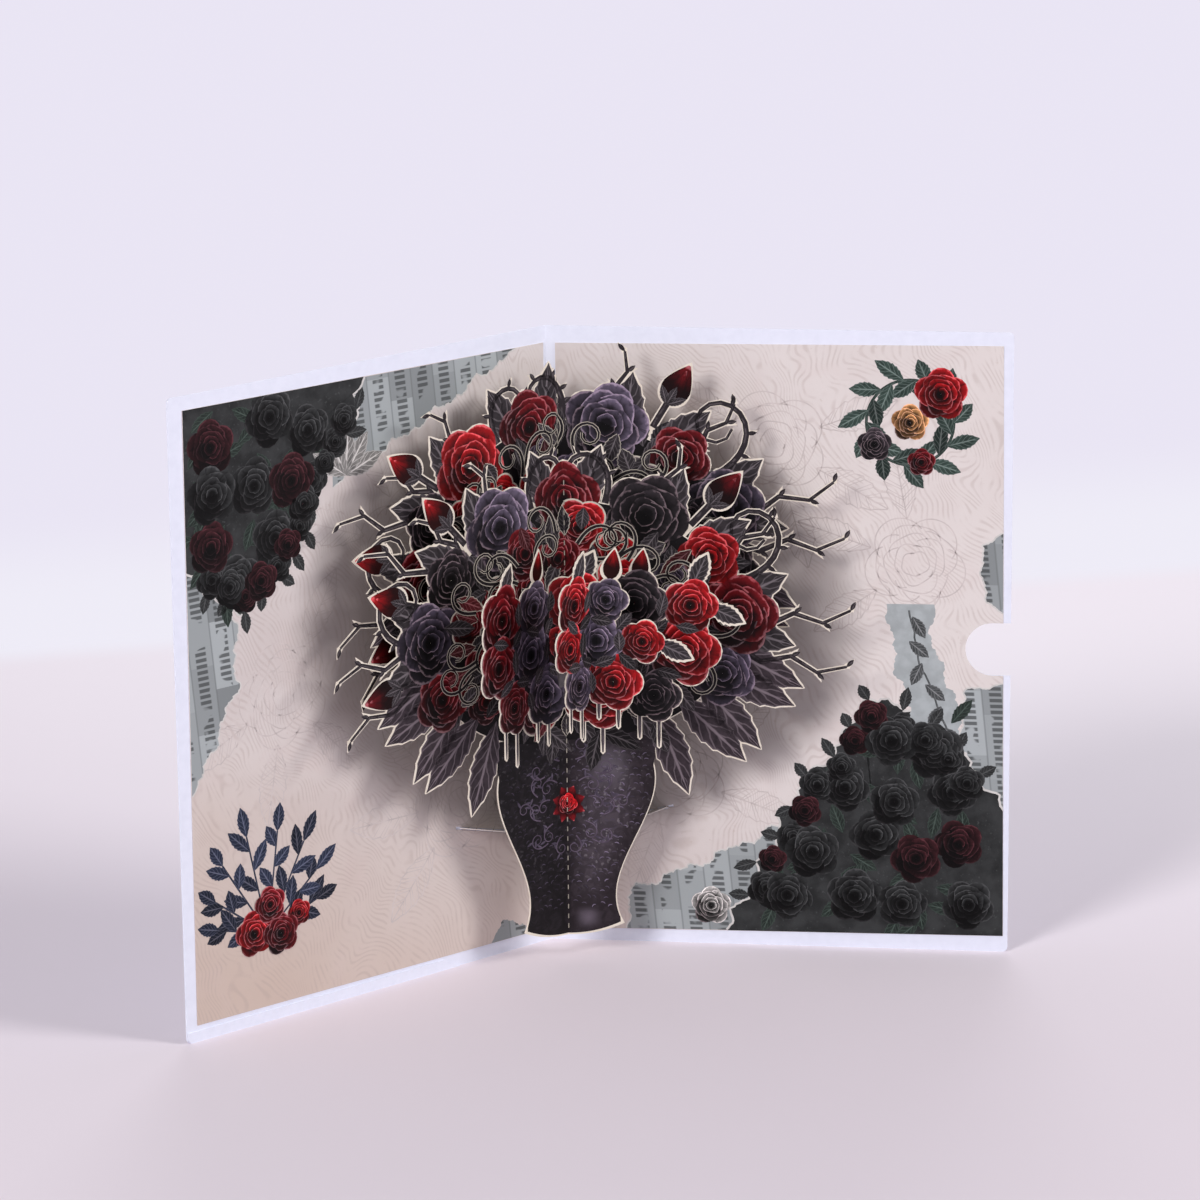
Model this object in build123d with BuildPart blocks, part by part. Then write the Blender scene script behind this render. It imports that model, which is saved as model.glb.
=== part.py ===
from build123d import *
import os
from math import cos, degrees, radians, sin, tan

# A pop-up greeting card standing open: a folded cover, two glued liners and four die-cut, valley-folded
# layers of flowers that float in front of the gutter on folded paper strips. Millimetres, +Z up, the
# gutter on the Z axis with its foot at the origin, and the card opening towards -Y.

# Cover
card_height = 200.0
cover_width = 145.0
cover_thickness = 0.5
cover_corner_radius = 1.5
opening_half_angle = 66.2
notch_width = 17.0
notch_depth = 14.3
notch_height = 99.2
hem_height = 3.4
hem_end = 38.5
hem_slant = 6.5

# Liners, each glued a little askew
liner_width = 138.6
liner_height = 190.6
liner_thickness = 0.25
liner_middle_height = 99.9
left_liner_gap = 1.6
right_liner_gap = 3.9
left_liner_skew = -0.4
right_liner_skew = 0.5

# Folded layers: where the back of each crease stands in front of the gutter
sheet_thickness = 0.35
rear_crease = 11.2
vase_crease = 17.4
front_crease = 30.0
front_crease_left = 8.8
spray_crease = 45.0
front_left_angle = 50.0

# The head of flowers, drawn for the vase layer and turned a little on its rim for the rear layer
rear_head_height = 134.0
vase_head_height = 110.0
rear_head_turn = 12.0
head_half_width = 54.0
head_half_height = 39.0
ring_rose_radii = (11.0, 13.5, 10.5, 14.0, 12.5, 14.0, 10.5, 13.5, 11.0)
ring_start = -24.0
ring_end = 204.0
petal_lobes = 5
petal_lobe_steps = 6
bud_length = 16.0
bud_width = 10.0
bud_stalk = 12.0
bud_shoulder_share = 0.4
bud_waist_share = 0.75
bud_waist_width_share = 0.27
bud_angles = (47.0, 133.0, 161.0, 190.0)
leaf_length = 19.0
skirt_leaf_length = 25.0
leaf_width = 11.5
leaf_inset = 6.0
leaf_lean = 14.0
leaf_teeth = 7
leaf_notch_share = 0.87
leaf_angles = (-2.0, 12.0, 40.0, 55.0, 84.0, 97.0, 126.0, 141.0, 168.0, 183.0)
skirt_angles = (-13.0, -24.0, -34.0, -44.0, -56.0)
curl_length = 62.0
curl_turn = 430.0
curl_tightening = 1.7
curl_steps = 18
curl_thorn_steps = (4, 6, 9)
curl_thorn_angle = 80.0
curl_angles = (19.0, 176.0)
ringlet_length = 42.0
ringlet_angles = (76.0, 104.0)
branch_length = 38.0
branch_angles = (-10.0, 4.0, 152.0, 182.0, 197.0)
twig_length = 26.0
twig_angles = (33.0, 62.0, 118.0, 138.0)
branch_joints = 4
branch_bend = 22.0
branch_thorn_swing = 2.5
stalk_base_width = 2.8
stalk_tip_width = 1.3
thorn_length = 3.6
thorn_width = 2.2

# Vase, below the head on the same sheet
vase_foot_clearance = 7.2
foot_half_width = 18.0
foot_height = 11.5
waist_half_width = 15.9
waist_height = 17.5
belly_half_width = 27.0
belly_height = 52.0
neck_half_width = 17.0
neck_height = 78.0

# Front bouquet and front spray
front_rose_radius = 10.5
front_top_row = 120.0
front_row_step = 14.5
front_rose_step = 17.5
front_row_starts = (-26.0, -28.0, -20.0)
front_row_counts = (5, 5, 4)
spray_rose_radius = 8.5
spray_top_row = 124.0
spray_row_step = 13.0
spray_rose_step = 14.0
spray_row_starts = (-9.0, -12.0, -7.0)
spray_row_counts = (2, 3, 2)
small_bud_length = 11.0
small_bud_width = 6.5
small_leaf_length = 13.0
small_leaf_width = 7.0
crown_bud_angle = 80.0
crown_bud_stalk_share = 0.7
crown_leaf_angle = 65.0
flank_leaf_angle = -25.0
rose_size_cycle = (1.12, 0.86, 1.0)
drip_width = 1.5
drip_length = 9.0
drip_short_share = 0.6
drip_short_offset = -3.0
drip_fade = 0.25

# Folded strips that carry the layers
strip_thickness = 0.3
strip_tab = 8.0
rear_strip_reach = 38.0
rear_strip_foot = 118.0
rear_strip_height = 26.0
vase_strip_reach = 26.0
vase_strip_foot = 98.0
vase_strip_height = 26.0
front_strip_left = 20.0
front_strip_right = 20.0
front_strip_foot = 93.0
front_strip_height = 24.0
spray_strip_left = 13.0
spray_strip_left_root = 7.0
spray_strip_right = 9.0
spray_strip_foot = 100.0
spray_strip_height = 10.0

# Struts behind the vase, each with its rear end in a slanted slit of a liner
slit_angle = 15.0
slit_root_height = 35.0
slit_width = 1.0
slit_clearance = 0.5
strut_slit_start = 20.0
strut_slit_end = 40.0
strut_front_start = 6.0
strut_front_end = 20.0
strut_tab_height = 6.0
strut_rise = 15.0

sin_open = sin(radians(opening_half_angle))
sheet_reach = 2 * cover_width


def wing_plane(crease_x, crease_y, half_angle, side):
    """Plane of one half of a folded sheet: its x runs out from the crease on the right half and in
    towards it on the left half, its y is up and its z faces the reader."""
    angle = radians(half_angle)
    return Plane(
        origin=(crease_x, crease_y, 0),
        x_dir=(sin(angle), -side * cos(angle), 0),
        z_dir=(-side * cos(angle), -sin(angle), 0),
    )


def fold(outline, crease_x, crease_y, left_angle, right_angle, thickness):
    """A flat outline folded along its x = 0 line into one sheet."""
    with BuildPart() as sheet:
        for side, angle in ((-1, left_angle), (1, right_angle)):
            with BuildSketch(wing_plane(crease_x, crease_y, angle, side)):
                add(outline)
                with Locations((side * sheet_reach / 2, card_height / 2)):
                    Rectangle(sheet_reach, 2 * card_height, mode=Mode.INTERSECT)
            extrude(amount=thickness)
    return sheet.part


def rose(radius):
    """A rose seen from the front: rounded petal lobes, whose edge falls off as the cosine of the angle
    from the middle of the lobe."""
    lobe_angle = 360 / petal_lobes
    edge = []
    for i in range(petal_lobes * petal_lobe_steps):
        angle = i * lobe_angle / petal_lobe_steps
        from_middle = (angle + lobe_angle / 2) % lobe_angle - lobe_angle / 2
        reach = radius * cos(radians(from_middle))
        edge.append((reach * cos(radians(angle)), reach * sin(radians(angle))))
    with BuildSketch() as flower:
        Polygon(*edge, align=None)
    return flower.sketch


def leaf(length, width):
    """A pointed leaf lying along +x from its stalk, with teeth that point forward along both edges."""
    edge = []
    for i in range(leaf_teeth):
        tip, notch_at = (i + 0.75) / leaf_teeth, (i + 1) / leaf_teeth
        edge.append((tip * length, 2 * width * tip * (1 - tip)))
        edge.append((notch_at * length, 2 * width * leaf_notch_share * notch_at * (1 - notch_at)))
    with BuildSketch() as blade:
        Polygon((0, 0), *edge, *[(x, -y) for x, y in reversed(edge[:-1])], align=None)
    return blade.sketch


def bud(length, width, stalk):
    """A closed bud at the end of a stalk along +x: a round base drawn out to a point."""
    shoulder = stalk + length * bud_shoulder_share
    waist, half_waist = stalk + length * bud_waist_share, width * bud_waist_width_share
    tip = stalk + length
    with BuildSketch() as flower:
        with BuildLine():
            ThreePointArc((shoulder, width / 2), (stalk, 0), (shoulder, -width / 2))
            ThreePointArc((shoulder, -width / 2), (waist, -half_waist), (tip, 0))
            ThreePointArc((tip, 0), (waist, half_waist), (shoulder, width / 2))
        make_face()
        with Locations((shoulder / 2, 0)):
            Rectangle(shoulder, stalk_base_width)
    return flower.sketch


def stalk_half_width(share):
    """Half the width of a tapering stalk at a share of its length."""
    return (stalk_base_width + (stalk_tip_width - stalk_base_width) * share) / 2


def curl(length, turn):
    """A tendril along +x that winds up more and more tightly, with thorns on the outside of its bend."""
    step = length / curl_steps
    x, y = 0.0, 0.0
    upper, lower, thorns = [], [], []
    for i in range(curl_steps + 1):
        share = i / curl_steps
        heading = radians(turn) * share**curl_tightening
        half = stalk_half_width(share)
        upper.append((x - half * sin(heading), y + half * cos(heading)))
        lower.append((x + half * sin(heading), y - half * cos(heading)))
        if i in curl_thorn_steps:
            outside = -curl_thorn_angle if turn > 0 else curl_thorn_angle
            thorns.append(Location((x, y, 0), (0, 0, degrees(heading) + outside)))
        x += step * cos(heading)
        y += step * sin(heading)
    with BuildSketch() as tendril:
        with BuildLine():
            Polyline(*upper, *reversed(lower), close=True)
        make_face()
        with Locations(*thorns):
            add(thorn())
    return tendril.sketch


def thorn():
    """One thorn, a slim triangle along +x."""
    with BuildSketch() as spike:
        Polygon((0, -thorn_width / 2), (thorn_length, 0), (0, thorn_width / 2), align=None)
    return spike.sketch


def branch(length):
    """A bare twig along +x in short straight runs that bend to and fro, with a thorn at each bend."""
    run = length / branch_joints
    x, y = 0.0, 0.0
    with BuildSketch() as twig:
        for i in range(branch_joints):
            bend = branch_bend if i % 2 else -branch_bend
            start, end = stalk_half_width(i / branch_joints), stalk_half_width((i + 1) / branch_joints)
            with Locations(Location((x, y, 0), (0, 0, bend))):
                Polygon((-start, -start), (run + end, -end), (run + end, end), (-start, start), align=None)
            x += run * cos(radians(bend))
            y += run * sin(radians(bend))
            with Locations(Location((x, y, 0), (0, 0, branch_thorn_swing * bend))):
                add(thorn())
    return twig.sketch


def around(height, angle, lean=0.0, inset=0.0):
    """Place on the rim of the head's ellipse at an angle, with x turned outwards and then leaned, and
    drawn back along x by an inset."""
    direction = radians(angle)
    x = head_half_width * cos(direction)
    y = head_half_height * sin(direction)
    return Location((x, height + y, 0), (0, 0, angle + lean)) * Location((-inset, 0, 0))


def rows(top, row_step, starts, counts, rose_step):
    """Centres of roses in level rows, each row with its own start and count."""
    return [
        (start + i * rose_step, top - row * row_step)
        for row, (start, count) in enumerate(zip(starts, counts))
        for i in range(count)
    ]


def head_outline(height, turn=0.0):
    """The die-cut head of flowers: a ring of roses round a full middle, with buds, leaves and tendrils,
    all but the hanging leaves moved round the rim by a turn."""
    ring_step = (ring_end - ring_start) / (len(ring_rose_radii) - 1)
    leaves = [(turn + angle, leaf_lean if i % 2 else -leaf_lean) for i, angle in enumerate(leaf_angles)]
    skirt = [(angle, leaf_lean * (i % 2) - leaf_lean) for i, angle in enumerate(skirt_angles)]
    skirt += [(180 - angle, -lean) for angle, lean in skirt]
    with BuildSketch() as outline:
        with Locations((0, height)):
            Ellipse(head_half_width, head_half_height)
        for i, radius in enumerate(ring_rose_radii):
            with Locations(around(height, turn + ring_start + i * ring_step)):
                add(rose(radius))
        with Locations(*[around(height, turn + angle) for angle in bud_angles]):
            add(bud(bud_length, bud_width, bud_stalk))
        for length, places in ((leaf_length, leaves), (skirt_leaf_length, skirt)):
            with Locations(*[around(height, angle, lean, leaf_inset) for angle, lean in places]):
                add(leaf(leaf_inset + length, leaf_width))
        for length, angles in ((curl_length, curl_angles), (ringlet_length, ringlet_angles)):
            for angle, winding in zip(angles, (curl_turn, -curl_turn)):
                with Locations(around(height, turn + angle)):
                    add(curl(length, winding))
        for length, angles in ((branch_length, branch_angles), (twig_length, twig_angles)):
            with Locations(*[around(height, turn + angle) for angle in angles]):
                add(branch(length))
    return outline.sketch


def vase_outline():
    """The vase in front view: a waisted foot, a full belly and a neck that runs up behind the flowers."""
    with BuildSketch() as outline:
        with BuildLine():
            ThreePointArc((-foot_half_width, foot_height), (0, vase_foot_clearance), (foot_half_width, foot_height))
            Spline(
                (foot_half_width, foot_height),
                (waist_half_width, waist_height),
                (belly_half_width, belly_height),
                (neck_half_width, neck_height),
            )
            Line((neck_half_width, neck_height), (-neck_half_width, neck_height))
            Spline(
                (-neck_half_width, neck_height),
                (-belly_half_width, belly_height),
                (-waist_half_width, waist_height),
                (-foot_half_width, foot_height),
            )
        make_face()
    return outline.sketch


def drip(length):
    """A drip hanging straight down from the origin, with a blunt point."""
    half = drip_width / 2
    with BuildSketch() as run:
        Polygon((-half, 0), (-half, half - length), (0, -length), (half, half - length), (half, 0), align=None)
    return run.sketch


def cluster_outline(centres, radius, top):
    """A small die-cut bunch: rows of roses with buds and leaves above and drips hanging below."""
    left, right = min(x for x, y in centres), max(x for x, y in centres)
    lowest = min(y for x, y in centres)
    crown = [x for x, y in centres if y == top]
    flank = [y for x, y in centres if x == right]
    fringe = [x for x, y in centres if y == lowest]
    with BuildSketch() as outline:
        for i, centre in enumerate(centres):
            with Locations(centre):
                add(rose(radius * rose_size_cycle[i % len(rose_size_cycle)]))
        with Locations(((fringe[0] + fringe[-1]) / 2, (top + lowest) / 2)):
            Rectangle(fringe[-1] - fringe[0], top - lowest)
        with Locations(((left + right) / 2, (top + lowest) / 2)):
            Rectangle(right - left, radius)
        with Locations(*[Location((x, top, 0), (0, 0, crown_bud_angle)) for x in crown[1::2]]):
            add(bud(small_bud_length, small_bud_width, radius * crown_bud_stalk_share))
        with Locations(*[Location((x, top + radius / 2, 0), (0, 0, crown_leaf_angle)) for x in crown[::2]]):
            add(leaf(small_leaf_length, small_leaf_width))
        with Locations(*[Location((right + radius / 2, y, 0), (0, 0, flank_leaf_angle)) for y in flank]):
            add(leaf(small_leaf_length, small_leaf_width))
        for i, x in enumerate(fringe):
            for offset, share in ((1, 1), (drip_short_offset, drip_short_share)):
                hang = drip_length * share * (1 - drip_fade * (i % 2))
                with Locations((x + offset * drip_width, lowest)):
                    add(drip(radius + hang))
    return outline.sketch


def face_point(crease_x, crease_y, half_angle, x):
    """Point at a given x on one half of a folded plane, seen from above."""
    return (x, crease_y - abs(x - crease_x) / tan(radians(half_angle)))


def strip(rear_face, front_face, rear_reach, front_reach, side, foot, height, rear_way=1):
    """A folded strip: a tab on the sheet behind it, a web running forward and a tab on the sheet in front.
    Each face is the crease x, crease y and half angle of the middle plane of its tab; the rear tab runs
    outwards from the web, or inwards where rear_way is -1."""
    rear_run = rear_way * strip_tab * sin(radians(rear_face[2]))
    front_run = strip_tab * sin(radians(front_face[2]))
    path = [
        face_point(*rear_face, side * (rear_reach + rear_run)),
        face_point(*rear_face, side * rear_reach),
        face_point(*front_face, side * front_reach),
        face_point(*front_face, side * (front_reach - front_run)),
    ]
    with BuildPart() as spacer:
        with BuildSketch(Plane.XY.offset(foot)):
            with BuildLine():
                Polyline(*path)
            trace(line_width=strip_thickness)
        extrude(amount=height)
    return spacer.part


def crease_shift(distance, half_angle):
    """How far a crease moves along Y when both halves move by a distance square to themselves."""
    return distance / sin(radians(half_angle))


def slit_point(along, lift=0.0):
    """Point on the slanted line of a slit, or on a line a lift above it, in flat coordinates."""
    slant = radians(slit_angle)
    return (along * cos(slant), slit_root_height + lift + along * sin(slant))


def notch():
    """The thumb notch in flat coordinates: a round-ended cut from the outer edge."""
    end_radius = notch_width / 2
    centre = cover_width - notch_depth + end_radius
    with BuildSketch() as cut:
        with Locations((centre, notch_height)):
            Circle(end_radius)
        with Locations((centre + notch_depth / 2, notch_height)):
            Rectangle(notch_depth, notch_width)
    return cut.sketch


def liner(side, gap, skew):
    """A printed sheet glued to one half of the cover, with the slit for its strut."""
    slit_middle = (strut_slit_start + strut_slit_end) / 2
    slit_length = strut_slit_end - strut_slit_start + 2 * slit_clearance
    slit_x, slit_y = slit_point(slit_middle)
    with BuildPart() as sheet:
        with BuildSketch(wing_plane(0, 0, opening_half_angle, side)):
            with Locations((side * (gap + liner_width / 2), liner_middle_height)):
                Rectangle(liner_width, liner_height, rotation=skew)
            with Locations((side * slit_x, slit_y)):
                Rectangle(slit_length, slit_width, rotation=side * slit_angle, mode=Mode.SUBTRACT)
            if side > 0:
                add(notch(), mode=Mode.SUBTRACT)
        extrude(amount=liner_thickness)
    return sheet.part


def strut(side):
    """A slanted strip from the slit of a liner forward to a tab glued on the back of the vase."""
    slant = radians(slit_angle)
    along = Vector(side * sin_open * cos(slant), -cos(radians(opening_half_angle)) * cos(slant), sin(slant))
    lift = vase_crease * tan(radians(strut_rise))
    forward = Vector(0, -1, tan(radians(strut_rise)))
    root = Vector(0, 0, slit_root_height)
    plane = Plane(origin=root, x_dir=along, z_dir=along.cross(forward))
    cover_face = wing_plane(0, 0, opening_half_angle, side)
    vase_back = wing_plane(0, -vase_crease, opening_half_angle, side)
    slope = (strut_front_start - strut_slit_start) / vase_crease
    over = strip_tab
    corners = [
        along * (strut_slit_start - slope * over) - forward * over,
        along * (strut_slit_end - slope * over) - forward * over,
        along * (strut_front_end + slope * over) + forward * (vase_crease + over),
        along * (strut_front_start + slope * over) + forward * (vase_crease + over),
    ]
    flat = [plane.to_local_coords(root + corner) for corner in corners]
    tab_start = slit_point(strut_front_start, lift)
    tab_end = slit_point(strut_front_end, lift)
    with BuildPart() as brace:
        with BuildSketch(plane):
            with BuildLine():
                Polyline(*[(point.X, point.Y) for point in flat], close=True)
            make_face()
        extrude(amount=strip_thickness / 2, both=True)
        split(bisect_by=cover_face, keep=Keep.TOP)
        split(bisect_by=vase_back, keep=Keep.BOTTOM)
        with BuildSketch(vase_back):
            with BuildLine():
                Polyline(
                    (side * tab_start[0], tab_start[1]),
                    (side * tab_end[0], tab_end[1]),
                    (side * tab_end[0], tab_end[1] + strut_tab_height),
                    (side * tab_start[0], tab_start[1] + strut_tab_height),
                    close=True,
                )
            make_face()
        extrude(amount=-strip_thickness)
    return brace.part


os.makedirs("parts", exist_ok=True)

# Cover: one folded sheet, with the thumb notch on the right and the hem turned up on the left
with BuildSketch() as cover_outline:
    with Locations((0, card_height / 2)):
        Rectangle(2 * cover_width, card_height)
    fillet(cover_outline.vertices(), cover_corner_radius)
    add(notch(), mode=Mode.SUBTRACT)

cover_back = crease_shift(cover_thickness, opening_half_angle)
with BuildPart() as cover:
    add(fold(cover_outline.sketch, 0, cover_back, opening_half_angle, opening_half_angle, cover_thickness))
    with BuildSketch(wing_plane(0, 0, opening_half_angle, -1)):
        with BuildLine():
            Polyline(
                (-hem_end, 0),
                (-hem_end - hem_slant, hem_height),
                (-cover_width, hem_height),
                (-cover_width, cover_corner_radius),
                (-cover_width + cover_corner_radius, 0),
                close=True,
            )
        make_face()
    extrude(amount=cover_thickness)
cover.part.label = "cover"
export_step(cover.part, "parts/cover.step")

# Liners
left_liner = liner(-1, left_liner_gap, left_liner_skew)
left_liner.label = "left_liner"
export_step(left_liner, "parts/left_liner.step")

right_liner = liner(1, right_liner_gap, right_liner_skew)
right_liner.label = "right_liner"
export_step(right_liner, "parts/right_liner.step")

# Rear bouquet
rear_head = head_outline(rear_head_height, rear_head_turn)
rear_bouquet = fold(rear_head, 0, -rear_crease, opening_half_angle, opening_half_angle, sheet_thickness)
rear_bouquet.label = "rear_bouquet"
export_step(rear_bouquet, "parts/rear_bouquet.step")

# Vase bouquet: the same head of flowers, lower and further forward, in one sheet with the vase
with BuildSketch() as vase_sheet:
    add(head_outline(vase_head_height))
    add(vase_outline())
vase_bouquet = fold(
    vase_sheet.sketch, 0, -vase_crease, opening_half_angle, opening_half_angle, sheet_thickness
)
vase_bouquet.label = "vase_bouquet"
export_step(vase_bouquet, "parts/vase_bouquet.step")

# Front bouquet, with its steeper left half
front_centres = rows(front_top_row, front_row_step, front_row_starts, front_row_counts, front_rose_step)
front_bouquet = fold(
    cluster_outline(front_centres, front_rose_radius, front_top_row),
    -front_crease_left,
    -front_crease,
    front_left_angle,
    opening_half_angle,
    sheet_thickness,
)
front_bouquet.label = "front_bouquet"
export_step(front_bouquet, "parts/front_bouquet.step")

# Front spray
spray_centres = rows(spray_top_row, spray_row_step, spray_row_starts, spray_row_counts, spray_rose_step)
front_spray = fold(
    cluster_outline(spray_centres, spray_rose_radius, spray_top_row),
    0,
    -spray_crease,
    front_left_angle,
    opening_half_angle,
    sheet_thickness,
)
front_spray.label = "front_spray"
export_step(front_spray, "parts/front_spray.step")

# Folded strips between the layers and struts behind the vase, a left and a right one of each
for side, name, front_angle, front_reach, spray_root, spray_reach in (
    (-1, "left", front_left_angle, front_strip_left, spray_strip_left_root, spray_strip_left),
    (1, "right", opening_half_angle, front_strip_right, spray_strip_right, spray_strip_right),
):
    wide_half = crease_shift(strip_thickness / 2, opening_half_angle)
    wide_sheet = crease_shift(sheet_thickness, opening_half_angle)
    front_half = crease_shift(strip_thickness / 2, front_angle)
    liner_face = (0, -crease_shift(liner_thickness, opening_half_angle) - wide_half, opening_half_angle)
    rear_back = (0, -rear_crease + wide_half, opening_half_angle)
    rear_front = (0, -rear_crease - wide_sheet - wide_half, opening_half_angle)
    vase_back = (0, -vase_crease + wide_half, opening_half_angle)
    vase_front = (0, -vase_crease - wide_sheet - wide_half, opening_half_angle)
    front_back = (-front_crease_left, -front_crease + front_half, front_angle)
    front_front = (-front_crease_left, -front_crease - wide_sheet - wide_half, opening_half_angle)
    spray_back = (0, -spray_crease + front_half, front_angle)
    pieces = {
        "rear_spacer": strip(
            liner_face, rear_back, rear_strip_reach, rear_strip_reach, side, rear_strip_foot, rear_strip_height
        ),
        "vase_spacer": strip(
            rear_front, vase_back, vase_strip_reach, vase_strip_reach, side, vase_strip_foot, vase_strip_height
        ),
        "front_spacer": strip(
            vase_front, front_back, front_reach, front_reach, side, front_strip_foot, front_strip_height
        ),
        "spray_spacer": strip(
            front_front, spray_back, spray_root, spray_reach, side, spray_strip_foot, spray_strip_height, side
        ),
        "vase_strut": strut(side),
    }
    for kind, piece in pieces.items():
        piece.label = f"{kind}_{name}"
        export_step(piece, f"parts/{kind}_{name}.step")
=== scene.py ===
# %% [markdown]
# # A pop-up card with a vase of roses
#
# The card stands open on its foot. Its folded sheets come from the CAD frame, and this lesson prints on
# them: every printed flower is a thin flat surface that lies a hair's breadth above its sheet and is folded
# along the sheet's crease. A painted picture could be an image texture, but shapes worked out from a few
# numbers stay sharp at any size and can be re-inked by changing one colour.

# %% The frame
from collections import namedtuple
import bpy
import numpy as np
from mathutils import Matrix


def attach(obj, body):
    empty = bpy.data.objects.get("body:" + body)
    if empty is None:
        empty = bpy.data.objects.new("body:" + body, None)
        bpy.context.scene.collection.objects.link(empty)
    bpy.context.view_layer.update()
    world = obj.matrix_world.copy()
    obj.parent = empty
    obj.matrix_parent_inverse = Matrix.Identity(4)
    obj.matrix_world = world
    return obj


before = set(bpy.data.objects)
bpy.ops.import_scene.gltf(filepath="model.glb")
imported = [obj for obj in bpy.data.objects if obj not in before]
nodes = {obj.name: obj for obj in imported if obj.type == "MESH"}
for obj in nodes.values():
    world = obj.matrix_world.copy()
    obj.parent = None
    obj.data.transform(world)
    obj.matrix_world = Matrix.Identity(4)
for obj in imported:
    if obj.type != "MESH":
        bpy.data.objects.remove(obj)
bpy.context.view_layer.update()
rng = np.random.default_rng(7)
print("CAD nodes:", ", ".join(sorted(nodes)))

# %% [markdown]
# ## Folded sheets
#
# Paper folds without stretching, so a drawing made on the flat sheet can be carried onto the folded one by
# turning each half about the crease. Each layer of the card has a crease that stands upright at its own
# place, and two halves that lean forward at their own angles. Flat points are in millimetres: u runs across,
# negative on the left half, and v runs up from the table.

# %% Layers and the fold
MM = 0.001
OPEN = np.radians(66.2)
STEEP = np.radians(50.0)
LINER_PAPER, SHEET_PAPER = 0.25, 0.35
Layer = namedtuple("Layer", "crease angles face")
layers = {
    "liner": Layer((0.0, 0.0), (OPEN, OPEN), LINER_PAPER),
    "rear": Layer((0.0, -11.2), (OPEN, OPEN), SHEET_PAPER),
    "vase": Layer((0.0, -17.4), (OPEN, OPEN), SHEET_PAPER),
    "front": Layer((-8.8, -30.0), (STEEP, OPEN), SHEET_PAPER),
    "spray": Layer((0.0, -45.0), (STEEP, OPEN), SHEET_PAPER),
}


def fold(layer, side, u, v, lift):
    """Flat points on one half of a layer: out from the crease by |u| at the half's angle, and off the
    sheet's back by its thickness and the lift, but never past the upright plane through the crease."""
    angle = layer.angles[int(side > 0)]
    off = layer.face + lift
    out = np.maximum(side * u, off / np.tan(angle))
    x = layer.crease[0] + side * (out * np.sin(angle) - off * np.cos(angle))
    y = layer.crease[1] - out * np.cos(angle) - off * np.sin(angle)
    return MM * np.stack([x, y, v], -1)


print("layers:", ", ".join(layers))

# %% [markdown]
# ## Printing a stack of patches
#
# A print is a stack of small grids, all of one kind: petals, leaves, stalks. Each grid keeps its own two
# parameters as UV coordinates, so an ink can shade a petal from its base to its rim, and an ink colour as an
# attribute. A print marked in_mm keeps its flat place in millimetres instead, for inks with a pattern of a
# real size. A patch that lies across the crease is cut there: its points beyond the crease are drawn back
# to it, and faces left with no area are dropped. Every print has a lift off the paper in millimetres, so that
# a flower can lie over a leaf: fields have the least, and the pale lines on top almost half a millimetre.

# %% Meshes from grids
def grid_quads(n, rows, cols):
    """Corner numbers of the quads of n grids of rows by cols points."""
    cell = np.arange(n * rows * cols).reshape(n, rows, cols)
    ring = [cell[:, :-1, :-1], cell[:, :-1, 1:], cell[:, 1:, 1:], cell[:, 1:, :-1]]
    return np.stack(ring, -1).reshape(-1, 4)


def twice_area(points, quads):
    """Twice the signed area of flat quads: the cross product of their diagonals."""
    a, b, c, d = np.moveaxis(points[quads], 1, 0)
    p, q = c - a, d - b
    return p[:, 0] * q[:, 1] - p[:, 1] * q[:, 0]


def mesh_piece(name, points, quads, uv, ink, material):
    """One mesh object from points and quads, with UV coordinates and an ink colour at each point."""
    used, corners = np.unique(quads, return_inverse=True)
    corners = corners.reshape(-1, 4)
    mesh = bpy.data.meshes.new(name)
    mesh.from_pydata(points[used].tolist(), [], corners.tolist())
    spread = mesh.uv_layers.new(name="UVMap").data
    spread.foreach_set("uv", uv[used][corners].astype(np.float32).ravel())
    colours = np.concatenate([ink[used], np.ones((len(used), 1))], 1)
    tinted = mesh.attributes.new("ink", "FLOAT_COLOR", "POINT").data
    tinted.foreach_set("color", colours.astype(np.float32).ravel())
    mesh.materials.append(material)
    piece = bpy.data.objects.new(name, mesh)
    bpy.context.scene.collection.objects.link(piece)
    return piece


print("a sheet of two by three points has", len(grid_quads(1, 2, 3)), "quads")

# %% [markdown]
# The press takes the stacks of one piece and does for all points at once what a folding machine does for one
# sheet: it sorts the faces to look outwards, takes each half in turn, and lays it on the layer.

# %% Press prints onto a layer
Print = namedtuple("Print", "flat lift ink in_mm", defaults=(False,))
NO_AREA = 1e-4


def press(name, layer, prints, material):
    """Folds stacks of flat grids onto a layer, half by half, and joins them into one printed piece."""
    points, quads, uvs, inks = [], [], [], []
    count = 0
    for item in prints:
        n, rows, cols, _ = item.flat.shape
        flat = item.flat.reshape(-1, 2)
        across, along = np.meshgrid(np.linspace(0, 1, cols), np.linspace(0, 1, rows))
        own = np.broadcast_to(np.stack([across, along], -1), item.flat.shape)
        uv = item.flat if item.in_mm else own
        lift = np.broadcast_to(np.reshape(item.lift, (-1, 1, 1)), (n, rows, cols)).ravel()
        ink = np.broadcast_to(np.reshape(item.ink, (-1, 1, 1, 3)), (n, rows, cols, 3)).reshape(-1, 3)
        cells = grid_quads(n, rows, cols)
        cells = np.where(twice_area(flat, cells)[:, None] < 0, cells[:, ::-1], cells)
        for side in (-1, 1):
            half = np.stack([side * np.maximum(side * flat[:, 0], 0), flat[:, 1]], -1)
            kept = cells[twice_area(half, cells) > NO_AREA]
            points.append(fold(layer, side, half[:, 0], half[:, 1], lift))
            quads.append(kept + count)
            uvs.append(uv.reshape(-1, 2))
            inks.append(ink)
            count += len(flat)
    joined = [np.concatenate(part) for part in (points, quads, uvs, inks)]
    piece = mesh_piece(name, *joined, material)
    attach(piece, "root")
    print(f"{name}: {len(piece.data.polygons)} faces")


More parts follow.
